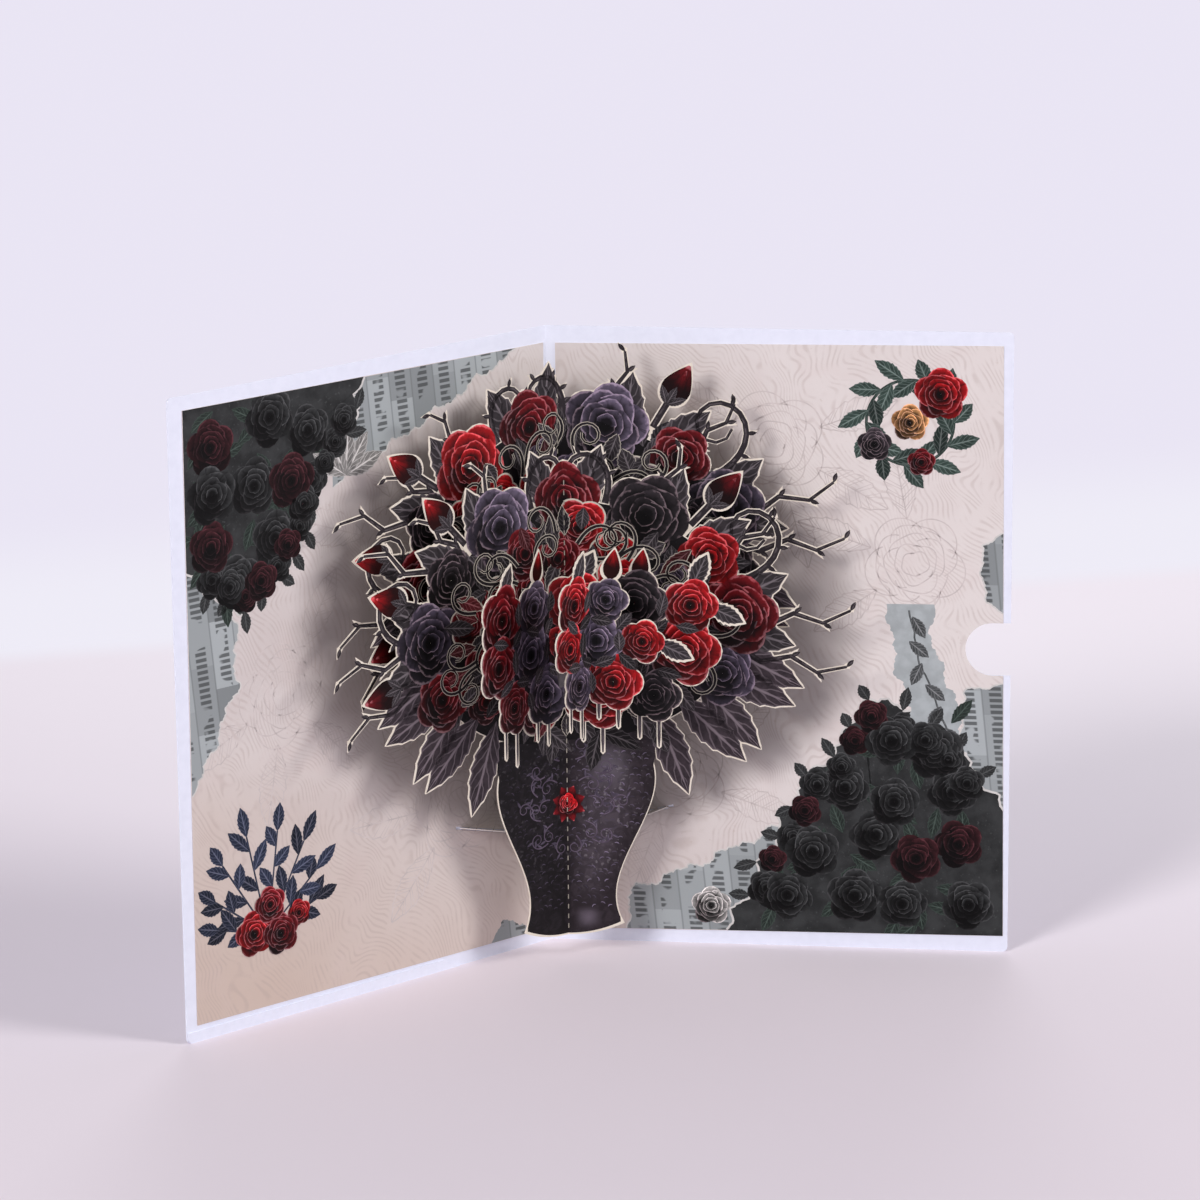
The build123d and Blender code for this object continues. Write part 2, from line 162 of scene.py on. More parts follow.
def press_bunch(layer_name, stacks):
    """Presses stacks that are sorted by ink onto a flower sheet, one piece for each ink."""
    for kind, prints in stacks.items():
        press(f"{layer_name}_{kind}_print", layers[layer_name], prints, inks[kind])


print("the press is ready")

# %% [markdown]
# ## Shader maths
#
# Node trees are sums and products of sockets. Wrapping a socket in a small class with the usual operators
# lets a finish read as a formula, and one method adds any other node.

# %% A socket that can be added and multiplied
class Signal:
    """One output socket of a material's node tree."""

    def __init__(self, tree, socket):
        self.tree = tree
        self.socket = socket

    def node(self, kind, settings=(), inputs=(), output=0):
        """Adds a node: its settings first, then values or links for its sockets; gives one output."""
        made = self.tree.nodes.new(kind)
        for key, value in dict(settings).items():
            setattr(made, key, value)
        for key, value in dict(inputs).items():
            if isinstance(value, Signal):
                self.tree.links.new(value.socket, made.inputs[key])
            else:
                made.inputs[key].default_value = value
        return Signal(self.tree, made.outputs[output])

    def maths(self, operation, second=0.0, first=None):
        """A Math node on this and a second value, or on another first value and this."""
        pair = {0: self, 1: second} if first is None else {0: first, 1: self}
        return self.node("ShaderNodeMath", {"operation": operation}, pair)

    def __add__(self, other):
        return self.maths("ADD", other)

    def __sub__(self, other):
        return self.maths("SUBTRACT", other)

    def __rsub__(self, other):
        return self.maths("SUBTRACT", first=other)

    def __mul__(self, other):
        return self.maths("MULTIPLY", other)

    def __abs__(self):
        return self.maths("ABSOLUTE")

    __radd__ = __add__
    __rmul__ = __mul__

    def off_middle(self):
        """How far this is from the middle of its whole step: 0.5 at the step's ends and 0 halfway."""
        return abs(self.maths("FRACT") - 0.5)

    def ramp(self, low, high):
        """Goes smoothly from 0 at low to 1 at high."""
        values = {"Value": self, "From Min": low, "From Max": high}
        return self.node("ShaderNodeMapRange", {"interpolation_type": "SMOOTHSTEP"}, values)

    def blend(self, first, second):
        """The first colour where this is 0 and the second where it is 1."""
        return self.node("ShaderNodeMix", {"data_type": "RGBA"}, {0: self, 6: first, 7: second}, 2)

    def noise(self, scale, detail=3.0, distortion=0.0):
        """Cloudy values from 0 to 1 at these coordinates."""
        values = {"Vector": self, "Scale": scale, "Detail": detail, "Distortion": distortion}
        return self.node("ShaderNodeTexNoise", {}, values)

    def times(self, factor, plus=(0.0, 0.0, 0.0)):
        """A colour times a number, plus another colour."""
        values = {0: self, 1: (factor, factor, factor), 2: plus}
        return self.node("ShaderNodeVectorMath", {"operation": "MULTIPLY_ADD"}, values)

    def axis(self, index):
        """One coordinate of a vector."""
        return self.node("ShaderNodeSeparateXYZ", {}, {0: self}, index)


print("sockets can be added and multiplied")

# %% [markdown]
# Every finish starts in the same way: a new material, its shader, and the piece's own coordinates in metres.
# Object coordinates are used, because they stay with the piece when it is exported or posed.

# %% The start of every finish
FIBRE_DEPTH = 0.00003


def finish(name, roughness):
    """A new material, its shader, and the piece's own coordinates in metres to draw on it with."""
    material = bpy.data.materials.new(name)
    material.use_nodes = True
    tree = material.node_tree
    shader = tree.nodes["Principled BSDF"]
    shader.inputs["Roughness"].default_value = roughness
    place = Signal(tree, tree.nodes.new("ShaderNodeTexCoord").outputs["Object"])
    return material, shader, place


def feed(shader, socket, signal):
    """Links a signal to one of the shader's sockets."""
    shader.id_data.links.new(signal.socket, shader.inputs[socket])


def fibres(place):
    """Paper fibres, a few tenths of a millimetre apart."""
    return place.noise(2600.0, 4.0)


def relief(shader, height, depth):
    """Bumps a finish by a height from 0 to 1 that stands for a depth in metres."""
    values = {"Strength": 1.0, "Distance": depth, "Height": height}
    feed(shader, "Normal", height.node("ShaderNodeBump", {}, values))


print("fibres stand", FIBRE_DEPTH / MM, "mm high")

# %% [markdown]
# ## Papers
#
# The cover is smooth white card with a faint cool tint. The die-cut sheets are cream where the print stops
# short of their edges. The strips are plain white paper, but in the bunches they are charcoal, a painted
# shade
# that stands for the shadow they lie in where they would show between the flowers. Paper is never quite one
# colour:
# fibres make it cloudy at two or three millimetres and rough at a few tenths, so each paper mixes two near
# tints by a cloudy noise and has a fine fibre bump.

# %% Card and paper finishes
def paper(name, light, dark, roughness, depth):
    """Two near tints mixed by cloudy noise, and a fine fibre relief."""
    material, shader, place = finish(name, roughness)
    cloud = place.noise(320.0, 5.0).ramp(0.3, 0.75)
    feed(shader, "Base Color", cloud.blend(light, dark))
    fibre = fibres(place)
    feed(shader, "Roughness", roughness + 0.12 * (fibre - 0.5))
    relief(shader, fibre, depth)
    return material


SOFT_DEPTH = 0.00004
cover_card = paper("cover_card", (0.80, 0.825, 0.945, 1), (0.765, 0.79, 0.91, 1), 0.55, FIBRE_DEPTH)
cream_paper = paper("cream_paper", (0.80, 0.73, 0.63, 1), (0.72, 0.64, 0.54, 1), 0.7, SOFT_DEPTH)
strip_paper = paper("strip_paper", (0.72, 0.70, 0.68, 1), (0.64, 0.62, 0.60, 1), 0.75, SOFT_DEPTH)
# Painted shade: charcoal paper for the strips inside the bunches, in place of white paper in shadow.
shade_paper = paper("shade_paper", (0.060, 0.050, 0.055, 1), (0.040, 0.033, 0.037, 1), 0.75, SOFT_DEPTH)
print("papers:", ", ".join(made.name for made in (cover_card, cream_paper, strip_paper, shade_paper)))

# %% [markdown]
# The liners are printed to look like old parchment: warm and cloudy, tan towards the lower left, and covered
# with fine strokes like an engraving. Two clouds of different sizes are mixed, because a single noise repeats
# too evenly to pass for stained paper. The strokes are the level lines of a slope that a slow noise bends. An
# oval of painted shadow lies behind the flowers, where their layers shade the liners, and makes them stand
# out.

# %% Parchment
SHADOW_WIDE, SHADOW_HIGH, SHADOW_MIDDLE = 0.094, 0.075, 0.108
SHADOW_TINT = (0.09, 0.07, 0.07, 1)


def shadowed(place, tint):
    """A painted shadow behind the flowers: a colour darkened inside an oval with a cloudy rim, whose left
    side rises.
    """
    wide = place.axis(0) * (1 / SHADOW_WIDE)
    left = place.axis(0).maths("MINIMUM")
    high = (place.axis(2) + 0.12 * left - SHADOW_MIDDLE) * (1 / SHADOW_HIGH)
    # Painted shadow: darker inside the oval, where the layers of flowers cast their shade on the liners.
    painted_shadow = (wide * wide + high * high + 0.3 * (place.noise(30.0) - 0.5)).ramp(1.03, 0.72)
    return (painted_shadow * 0.6).blend(tint, SHADOW_TINT)


def engraved(place):
    """Strokes along the level lines of a slope bent by a slow noise, broken by a finer one."""
    slope = place.axis(0) * 520.0 + place.axis(2) * 330.0 + place.noise(26.0, 2.0, 0.4) * 30.0
    return slope.off_middle().ramp(0.30, 0.05) * place.noise(180.0, 2.0).ramp(0.35, 0.6)


def parchment_finish():
    """Cloudy tints, a tan stain that grows to the lower left, a paler right side, a rosy cloud, engraved
    strokes, specks, and the painted shadow behind the flowers."""
    material, shader, place = finish("parchment", 0.6)
    x, z = place.axis(0), place.axis(2)
    cloud = place.noise(22.0, 6.0, 0.6).ramp(0.32, 0.72)
    tint = cloud.blend((0.69, 0.635, 0.62, 1), (0.615, 0.55, 0.535, 1))
    stain = (x * -0.6 + z * -1.2 + 0.05 * place.noise(18.0)).ramp(-0.05, 0.09)
    tint = (stain * 0.6).blend(tint, (0.52, 0.365, 0.265, 1))
    tint = (x.ramp(0.01, 0.11) * 0.6).blend(tint, (0.77, 0.71, 0.685, 1))
    rosy = place.noise(60.0, 4.0, 1.0).ramp(0.5, 0.75)
    tint = (rosy * 0.2).blend(tint, (0.63, 0.51, 0.49, 1))
    tint = (engraved(place) * 0.3).blend(tint, (0.42, 0.33, 0.30, 1))
    speck = place.noise(700.0, 2.0).ramp(0.68, 0.78)
    tint = (speck * 0.25).blend(tint, (0.45, 0.33, 0.27, 1))
    # The painted shadow behind the flowers goes over every tint of the parchment.
    feed(shader, "Base Color", shadowed(place, tint))
    relief(shader, fibres(place), FIBRE_DEPTH)
    return material


parchment = parchment_finish()
papers = {"cover": cover_card}
papers.update(dict.fromkeys(("left_liner", "right_liner", "vase_strut_left", "vase_strut_right"), parchment))
for name, node in nodes.items():
    # Strips inside the bunches get the painted-shade paper.
    strip = shade_paper if name.startswith(("front", "spray")) else strip_paper
    sheet = cream_paper if name.endswith(("bouquet", "front_spray")) else strip
    node.data.materials.clear()
    node.data.materials.append(papers.get(name, sheet))
print("finishes on", len(nodes), "CAD nodes")

# %% [markdown]
# ## Inks
#
# All inks read the patch's own two parameters. A petal is dark at its base, coloured in the middle and
# lightest along its rolled rim. A little noise in the parameters keeps every edge of tone hand-painted.
# Printing ink on uncoated paper is matt, so its specular level is low, or the lamps would lay a grey veil
# over the blacks.

# %% Petal ink
MATT = 0.12
Page = namedtuple("Page", "material shader place across along ink")


def printed(name, roughness):
    """A page to print on: material, shader, place, the two patch parameters and the ink colour."""
    material, shader, place = finish(name, roughness)
    uv = place.node("ShaderNodeUVMap", {"uv_map": "UVMap"})
    ink = place.node("ShaderNodeAttribute", {"attribute_name": "ink"})
    shader.inputs["Specular IOR Level"].default_value = MATT
    relief(shader, fibres(place), FIBRE_DEPTH)
    return Page(material, shader, place, uv.axis(0), uv.axis(1), ink)


def inked(page, colour):
    """Gives a page its colour, and the finished material back."""
    feed(page.shader, "Base Color", colour)
    return page.material


def petal_ink(name, shine):
    """Nearly black at the base to full ink towards the rim, less at the sides and in streaks that run out
    from the base, with a broken light line on the rim that adds a shine."""
    page = printed(name, 0.42)
    along = page.along + 0.26 * (page.place.noise(620.0) - 0.5)
    side = abs(page.across * 2.0 - 1.0)
    spread = {0: page.across * 3.0, 1: along * 0.4, 2: page.place.noise(40.0) * 9.0}
    streak = page.place.node("ShaderNodeCombineXYZ", {}, spread).noise(3.0, 2.0).ramp(0.12, 0.52)
    body = along.ramp(0.42, 1.05) * (1.0 - 0.7 * side * side) * streak
    rim = along.ramp(0.89, 0.98) * page.place.noise(230.0, 2.0).ramp(0.34, 0.56)
    colour = body.blend(page.ink.times(0.03), page.ink.times(0.8))
    return inked(page, (rim * 0.95).blend(colour, page.ink.times(1.5, shine)))


petal_print = petal_ink("petal_ink", (0.15, 0.11, 0.12))
dusk_print = petal_ink("dusk_petal_ink", (0.010, 0.008, 0.009))
print("petal inks:", petal_print.name, dusk_print.name)

# %% [markdown]
# A printed leaf has a midrib, side veins that slant to its tip and a thin light edge; a stalk has a broken
# light line along its middle. Fields are clouded, and drawn lines are even and a little worn. All four could
# be images, but here one parameter runs along the leaf and one across, so a vein is a line in both of them.

# %% Leaf, stalk, field and line inks
def leaf_ink(name, shine):
    """Ink with a midrib, slanting side veins and a thin edge, each lighter by a shine."""
    page = printed(name, 0.48)
    side = abs(page.across * 2.0 - 1.0)
    vein = (page.along * 6.0 - side * 1.7).off_middle().ramp(0.14, 0.03)
    rib = side.ramp(0.14, 0.03)
    edge = side.ramp(0.80, 0.98)
    shade = (0.35 + 0.9 * page.place.noise(520.0)).ramp(0.2, 1.1)
    colour = shade.blend(page.ink.times(0.05), page.ink.times(0.75))
    lines = (vein * 0.45).maths("MAXIMUM", rib * 0.8).maths("MAXIMUM", edge * 0.45)
    return inked(page, lines.blend(colour, page.ink.times(2.0, shine)))


def stalk_ink():
    """Ink with a broken light line along the middle."""
    page = printed("stalk_ink", 0.5)
    middle = abs(page.across * 2.0 - 0.8).ramp(0.5, 0.05) * page.place.noise(420.0, 2.0).ramp(0.4, 0.6)
    return inked(page, (middle * 0.6).blend(page.ink.times(0.7), page.ink.times(1.6, (0.08, 0.07, 0.07))))


def field_ink():
    """A flat field of ink, clouded and flecked."""
    page = printed("field_ink", 0.5)
    cloud = page.place.noise(160.0, 5.0).ramp(0.3, 0.7)
    fleck = page.place.noise(900.0, 2.0).ramp(0.62, 0.74)
    colour = cloud.blend(page.ink.times(0.45), page.ink)
    return inked(page, (fleck * 0.35).blend(colour, page.ink.times(1.8, (0.02, 0.02, 0.02))))


def drawn_ink(name, finishing):
    """Even ink for fine drawn lines, a little worn, with a finishing touch to its colour."""
    page = printed(name, 0.6)
    worn = page.place.noise(300.0).ramp(0.3, 0.7)
    return inked(page, finishing(page.place, worn.blend(page.ink.times(0.9), page.ink.times(1.08))))


leaf_print = leaf_ink("leaf_ink", (0.095, 0.085, 0.09))
dusk_leaf_print = leaf_ink("dusk_leaf_ink", (0.006, 0.007, 0.006))
stalk_print = stalk_ink()
field_print = field_ink()
drawn_print = drawn_ink("drawn_ink", lambda place, worn: worn)
# The faint drawn lines are darkened by the same painted shadow as the parchment.
faint_print = drawn_ink("faint_ink", shadowed)
inks = {
    "field": field_print,
    "stalk": stalk_print,
    "leaf": leaf_print,
    "petal": petal_print,
    "drawn": drawn_print,
}
print("inks for the flower sheets:", ", ".join(inks))

# %% [markdown]
# ## Roses
#
# A printed rose is a dark disc under five rings of petals, each smaller and turned against the ring below.
# One petal is a fan: its angle runs across and its radius runs from the base to a curved rim. The outer ring
# follows the die-cut outline, whose five lobes have the radius times the cosine of the angle from the lobe,
# and stops short of it so that a cream edge shows.

# %% Petals
RED = np.array([0.50, 0.009, 0.013])
CRIMSON = np.array([0.20, 0.007, 0.012])
CHARCOAL = np.array([0.035, 0.028, 0.033])
LAVENDER = np.array([0.15, 0.12, 0.18])
LEAF = np.array([0.050, 0.042, 0.047])
CREAM = np.array([0.55, 0.50, 0.43])
LIGHT_FROM = np.radians(60.0)
STEP = 0.010
ROSE_DEPTH = 7 * STEP
PETAL_ROWS = 6
rose_rings = (
    (1, 0.70, 0.01, 2 * np.pi),
    (5, 1.0, 0.34, 1.56),
    (5, 0.80, 0.26, 1.70),
    (4, 0.61, 0.18, 2.0),
    (3, 0.43, 0.10, 2.5),
    (2, 0.27, 0.03, 3.5),
)


def towards(angle):
    """Unit steps in the directions of angles: the cosine across and the sine up."""
    return np.stack([np.cos(angle), np.sin(angle)], -1)


def roses(centres, radius, spin, ink, lift, cols=8):
    """A dark disc under rings of fans. A point of a petal is at angle facing + across * width / 2 *
    (0.6 + 0.4 * along), at a radius from the ring's inner share to its outer share times the rim curve."""
    centres = np.asarray(centres, float)
    n = len(centres)
    radius, spin, lift = (np.broadcast_to(a, n) for a in (radius, spin, lift))
    ink = np.broadcast_to(ink, (n, 3))
    across = np.linspace(-1, 1, cols)
    along = np.linspace(0, 1, PETAL_ROWS)[:, None]
    made = []
    for ring, (count, outer, inner, width) in enumerate(rose_rings):
        facing = spin[:, None] + 2 * np.pi * (np.arange(count) + 0.5 * (ring % 2 == 0)) / count
        facing = facing + (rng.normal(0, 0.12, (n, count)) if ring > 1 else 0)
        wave = rng.uniform(0, 2 * np.pi, (n, count, 1, 1))
        turn = across * width / 2
        curled = 1 - 0.20 * across**2 + 0.05 * np.sin(5 * turn + wave)
        rim = (np.ones(cols), np.cos(turn), curled)[min(ring, 2)]
        reach = radius[:, None, None, None] * (inner + (outer * rim - inner) * along)
        angle = facing[:, :, None, None] + turn * (0.6 + 0.4 * along if ring else np.ones_like(along))
        flat = centres[:, None, None, None] + reach[..., None] * towards(angle)
        tone = 0.62 + 0.50 * np.cos(facing - LIGHT_FROM) + rng.normal(0, 0.14, (n, count))
        colour = ink[:, None] * np.clip(tone if ring else 0.1 * tone, 0.05, 1.4)[..., None]
        order = lift[:, None] + STEP * (ring + 0.8 * np.arange(count) / count)
        made.append(Print(flat.reshape(-1, PETAL_ROWS, cols, 2), order.ravel(), colour.reshape(-1, 3)))
    return made


print("a rose has", sum(count for count, *_ in rose_rings), "patches")

# %% [markdown]
# ## Leaves, stalks and buds
#
# A leaf is a lens with teeth: its half width is four times along times one minus along, less at the notches.
# A stalk is a band of a given width carried along a path. A bud is three petals that overlap inside a drop
# shape. The same teeth, bends and shoulders cut the solids, so that the print keeps to its paper.

# %% Lenses and bands
def turned(local, starts, angle):
    """Local points turned by each angle and moved to each start."""
    angle = np.reshape(angle, (-1, 1, 1))
    c, s = np.cos(angle), np.sin(angle)
    x, y = local[..., 0], local[..., 1]
    place = np.stack([c * x - s * y, s * x + c * y], -1)
    return place + np.asarray(starts, float)[:, None, None]


TEETH = 7
TOOTH_AT = np.r_[0, np.stack([np.arange(TEETH) + 0.75, np.arange(TEETH) + 1.0], -1).ravel() / TEETH]
TOOTH_SIZE = np.r_[1, np.tile([1, 0.87], TEETH)]
TIP_HALF = 0.12


def leaves(starts, angle, length, width, ink, lift, bend=0.0, inset=0.0):
    """Toothed lens patches along +x, narrower than their paper by an inset on each side, and bowed
    sideways by bend times the square of the share of length."""
    n = len(starts)
    length, width, bend = (np.broadcast_to(a, n)[:, None, None] for a in (length, width, bend))
    along = TOOTH_AT[:, None]
    across = np.linspace(-1, 1, 5)
    half = np.maximum(width / 2 * TOOTH_SIZE[:, None] * 4 * along * (1 - along) - inset, TIP_HALF)
    x = inset + (length - 3 * inset) * along * np.ones(5)
    y = half * across + bend * length * along**2
    return [Print(turned(np.stack([x, y], -1), starts, angle), lift, ink)]


def bands(paths, half, ink, lift):
    """Bands carried along paths of points: each point is moved to both sides along the path's normal."""
    paths = np.asarray(paths, float)
    way = np.gradient(paths, axis=1)
    way /= np.linalg.norm(way, axis=-1, keepdims=True)
    normal = np.stack([-way[..., 1], way[..., 0]], -1)
    half = np.broadcast_to(half, paths.shape[:2])[..., None, None]
    flat = paths[:, :, None] + np.linspace(1, -1, 3)[:, None] * half * normal[:, :, None]
    return [Print(flat, lift, ink)]


print("a leaf has", len(TOOTH_AT), "rows of points")

# %% [markdown]
# A bud and the path of a stalk need a formula each. A tendril curls ever tighter, as a real one does, and a
# twig bends to and fro at its joints. Both are walked step by step from a list of headings.

# %% Drops, tendrils and twigs
SHOULDER = 0.4
bud_petals = ((-1, 0.3, 1.0, 0.75), (-0.3, 1, 1.0, 1.05), (-0.55, 0.45, 0.86, 0.9))


def drops(starts, angle, length, width, ink, lift):
    """Three petals of a closed bud. The drop's half width is a quarter circle up to its shoulder and falls
    from there as one minus the 1.44th power; each petal takes part of that width."""
    along = np.linspace(0.01, 0.97, 10)[:, None]
    base = np.sqrt(np.clip(1 - ((SHOULDER - along) / SHOULDER) ** 2, 0, 1))
    tip = 1 - (np.clip(along - SHOULDER, 0, 1) / 0.6) ** 1.44
    half = width / 2 * np.where(along < SHOULDER, base, tip)
    made = []
    for order, (low, high, reach, tone) in enumerate(bud_petals):
        y = half * np.linspace(low, high, 6)
        x = length * reach * along * np.ones(6)
        flat = turned(np.stack([x, y], -1), starts, angle)
        made.append(Print(flat, lift + STEP * order, ink * tone))
    return made


def walked(length, heading):
    """A path of equal steps that add up to a length, each in its own heading."""
    step = length / len(heading) * towards(heading)
    return np.concatenate([np.zeros((1, 2)), np.cumsum(step, 0)])


def tendril(length, turn, steps=18):
    """Path of a tendril: its heading grows as the 1.7th power of the share of its length."""
    return walked(length, np.radians(turn) * (np.arange(steps) / steps) ** 1.7)


def twig(length, bend=22.0, joints=4):
    """Path of a twig: straight runs that bend to and fro."""
    return walked(length, np.radians(np.where(np.arange(joints) % 2, bend, -bend)))


print("a tendril has", len(tendril(1.0, 1.0)), "points, and a twig has", len(twig(1.0)))

# %% [markdown]
# ## The head of flowers
#
# The rear sheet and the vase sheet carry the same die-cut head, turned a little on the rear one: a ring of
# roses on an ellipse, with buds, leaves and thorny tendrils round it. The numbers repeat those of the solids,
# and each print stops short of the cut by the cream edge. Inside the ring more roses and leaves fill it up.

# %% Places round the head
EDGE = 0.32
HEAD_WIDE, HEAD_HIGH = 54.0, 39.0
ring_angles = np.linspace(-24, 204, 9)
ring_radii = np.array([11.0, 13.5, 10.5, 14.0, 12.5, 14.0, 10.5, 13.5, 11.0])
bud_angles = np.array([47.0, 133, 161, 190])
leaf_angles = np.array([-2.0, 12, 40, 55, 84, 97, 126, 141, 168, 183])
skirt_angles = np.array([-13.0, -24, -34, -44, -56])
ring_inks = [LAVENDER, CRIMSON, RED, CHARCOAL, CRIMSON, LAVENDER, CHARCOAL, LAVENDER * 0.5, CRIMSON]
fill_inks = np.array([RED, CRIMSON, CHARCOAL, CRIMSON, RED, LAVENDER * 0.7, CRIMSON, CHARCOAL])


def inside(height, share, turn):
    """Points at a share of the head's ellipse, in the direction of a turn."""
    return np.stack([HEAD_WIDE * share * np.cos(turn), height + HEAD_HIGH * share * np.sin(turn)], -1)


def around(height, degrees, lean=0.0, inset=0.0):
    """Points on the head's ellipse, drawn back along their leaned direction, and that direction."""
    degrees = np.asarray(degrees, float)
    way = np.radians(degrees + lean)
    return inside(height, 1.0, np.radians(degrees)) - inset * towards(way), way


def oval(height, wide, high, ink, lift):
    """A filled ellipse: radius runs from the middle to the rim and angle runs round."""
    along = np.linspace(0.02, 1, 14)[:, None]
    angle = np.linspace(0, 2 * np.pi, 73)
    flat = np.stack([wide * along * np.cos(angle), height + high * along * np.sin(angle)], -1)
    return [Print(flat[None], lift, ink)]


print("round a head:", len(ring_angles), "roses,", len(bud_angles), "buds,", len(leaf_angles), "leaves")

# %% [markdown]
# Thorny tendrils and forked twigs reach out of the head. Each is a band along one path, laid out again from
# every start, and its thorns are tiny leaves that swing off the path's direction.

# %% Tendrils, twigs and thorns
CURL_TURN, THORN_SWING, FORK_SWING = 430.0, 80.0, 35.0
CURL_THORNS, FORK_THORNS = [4, 6, 9], [1, 2, 3, 4]
THORN_LONG, THORN_WIDE = 3.2, 1.5
STALK_LIFT, THORN_LIFT = 0.03, 0.028
curls = ((62.0, (19.0, 176.0)), (42.0, (76.0, 104.0)))
twigs = ((38.0, (-10.0, 4.0, 152.0, 182.0, 197.0)), (26.0, (33.0, 62.0, 118.0, 138.0)))


def tapered(path, root=1.1, tip=0.42):
    """Half widths along a path, from its root to its tip."""
    return np.linspace(root, tip, len(path))


def laid(path, starts, ways):
    """One path of points laid out from each start along each way."""
    return turned(path[:, None], starts, ways)[:, :, 0]


def thorned(path, starts, ways, at, swing):
    """A band along each laid path, and a thorn at some of its points, swung off the path's direction."""
    paths = laid(path, starts, ways)
    made = bands(paths, tapered(path), CHARCOAL, STALK_LIFT)
    way = np.gradient(paths, axis=1)
    turn = np.arctan2(way[:, at, 1], way[:, at, 0]) + swing
    spots = paths[:, at].reshape(-1, 2)
    made += leaves(spots, turn.ravel(), THORN_LONG, THORN_WIDE, CHARCOAL, THORN_LIFT)
    return made


def head_stalks(height, shift):
    """The die-cut tendrils and twigs round a head, moved along its rim by a shift."""
    made = []
    for length, angles in curls:
        for angle, side in zip(angles, (1, -1)):
            start, way = around(height, [shift + angle])
            path = tendril(length, side * CURL_TURN)
            made += thorned(path, start, way, CURL_THORNS, np.radians(-side * THORN_SWING))
    for length, angles in twigs:
        start, way = around(height, np.add(angles, shift))
        swing = np.radians(FORK_SWING * np.array([-1.0, 1, -1, 1]))
        made += thorned(twig(length), start, way, FORK_THORNS, swing)
    return made


print("round a head:", sum(len(angles) for _, angles in curls + twigs), "tendrils and twigs")

# %% [markdown]
# Inside the head, as on the real sheet, pale lines run between the flowers: some roses and leaves have a
# cream edge of their own, and thin tendrils curl over them. They are bands again, on closed lobed paths or on
# tendrils, and a darker band on top leaves only the two sides of a tendril pale.

# %% Pale lines inside a head
PALE_LONG, PALE_LIFT, DARK_LIFT = 30.0, 0.470, 0.474


def lobed(centres, radius, spin):
    """Closed five-lobed paths: the radius times the cosine of the angle from the nearest lobe."""
    angle = np.linspace(0, 2 * np.pi, 61)
    lobe = 2 * np.pi / 5
    reach = np.cos((angle + lobe / 2) % lobe - lobe / 2)
    path = reach[:, None] * towards(angle + np.reshape(spin, (-1, 1)))
    return np.asarray(centres)[:, None] + np.reshape(radius, (-1, 1, 1)) * path


def pale_tendrils(height, count):
    """Thin tendrils that start inside the head and curl outwards, left and right by turns."""
    turn = np.linspace(-0.5, np.pi + 0.5, count) + rng.normal(0, 0.08, count)
    start = inside(height, rng.uniform(0.45, 0.85, count), turn)
    way = turn + rng.normal(0, 0.8, count)
    made = []
    for first, side in enumerate((1, -1)):
        path = tendril(PALE_LONG, side * CURL_TURN)
        paths = laid(path, start[first::2], way[first::2])
        made += bands(paths, tapered(path, 0.75, 0.40), CREAM * 0.85, PALE_LIFT)
        made += bands(paths, tapered(path, 0.50, 0.20), CHARCOAL * 0.4, DARK_LIFT)
    return made


print("a lobed edge has", lobed([(0, 0)], 1.0, 0.0).shape[1], "points")

# %% [markdown]
# The leaves of a head lie in three groups: die-cut ones round the rim, dark ones strewn over the middle under
# the roses, and some in front, so that the roses nestle in them. The strewn ones are drawn by lot from a
# seeded generator, because a regular pattern would show at once.

# %% Leaves of a head
LEAF_LEAN, LEAF_INSET, LEAF_EDGE = 14.0, 6.0, 0.3
LEAF_LONG, SKIRT_LONG, LEAF_WIDE = 25.0, 31.0, 11.5
LEAF_LIFT, NEST_LIFT, NEST_STEP = 0.03, 0.36, 0.0015
STREWN = 90
nest_shares, nest_counts = (0.22, 0.46, 0.70, 0.92), (7, 13, 19, 25)


def head_leaves(height, shift):
    """The die-cut leaves round a head, and darker leaves strewn over its middle."""
    lean = np.where(np.arange(len(leaf_angles)) % 2, LEAF_LEAN, -LEAF_LEAN)
    blade, way = around(height, leaf_angles + shift, lean, LEAF_INSET)
    made = leaves(blade, way, LEAF_LONG, LEAF_WIDE, LEAF, LEAF_LIFT, inset=LEAF_EDGE)
    lean = LEAF_LEAN * (np.arange(len(skirt_angles)) % 2) - LEAF_LEAN
    both = np.r_[skirt_angles, 180 - skirt_angles]
    blade, way = around(height, both, np.r_[lean, -lean], LEAF_INSET)
    warm = LEAF * (1.25, 1.1, 1.2)
    made += leaves(blade, way, SKIRT_LONG, LEAF_WIDE, warm, LEAF_LIFT, inset=LEAF_EDGE)
    turn = rng.uniform(0, 2 * np.pi, STREWN)
    spot = inside(height, np.sqrt(rng.uniform(0.03, 0.95, STREWN)), turn)
    tint = LEAF * rng.uniform(0.3, 1.5, (STREWN, 1))
    order = 0.02 + 0.02 * rng.permutation(STREWN) / STREWN
    way = turn + rng.normal(0, 0.7, STREWN)
    length = rng.uniform(9, 17, STREWN)
    made += leaves(spot, way, length, 6.0, tint, order, rng.normal(0, 0.1, STREWN))
    return made


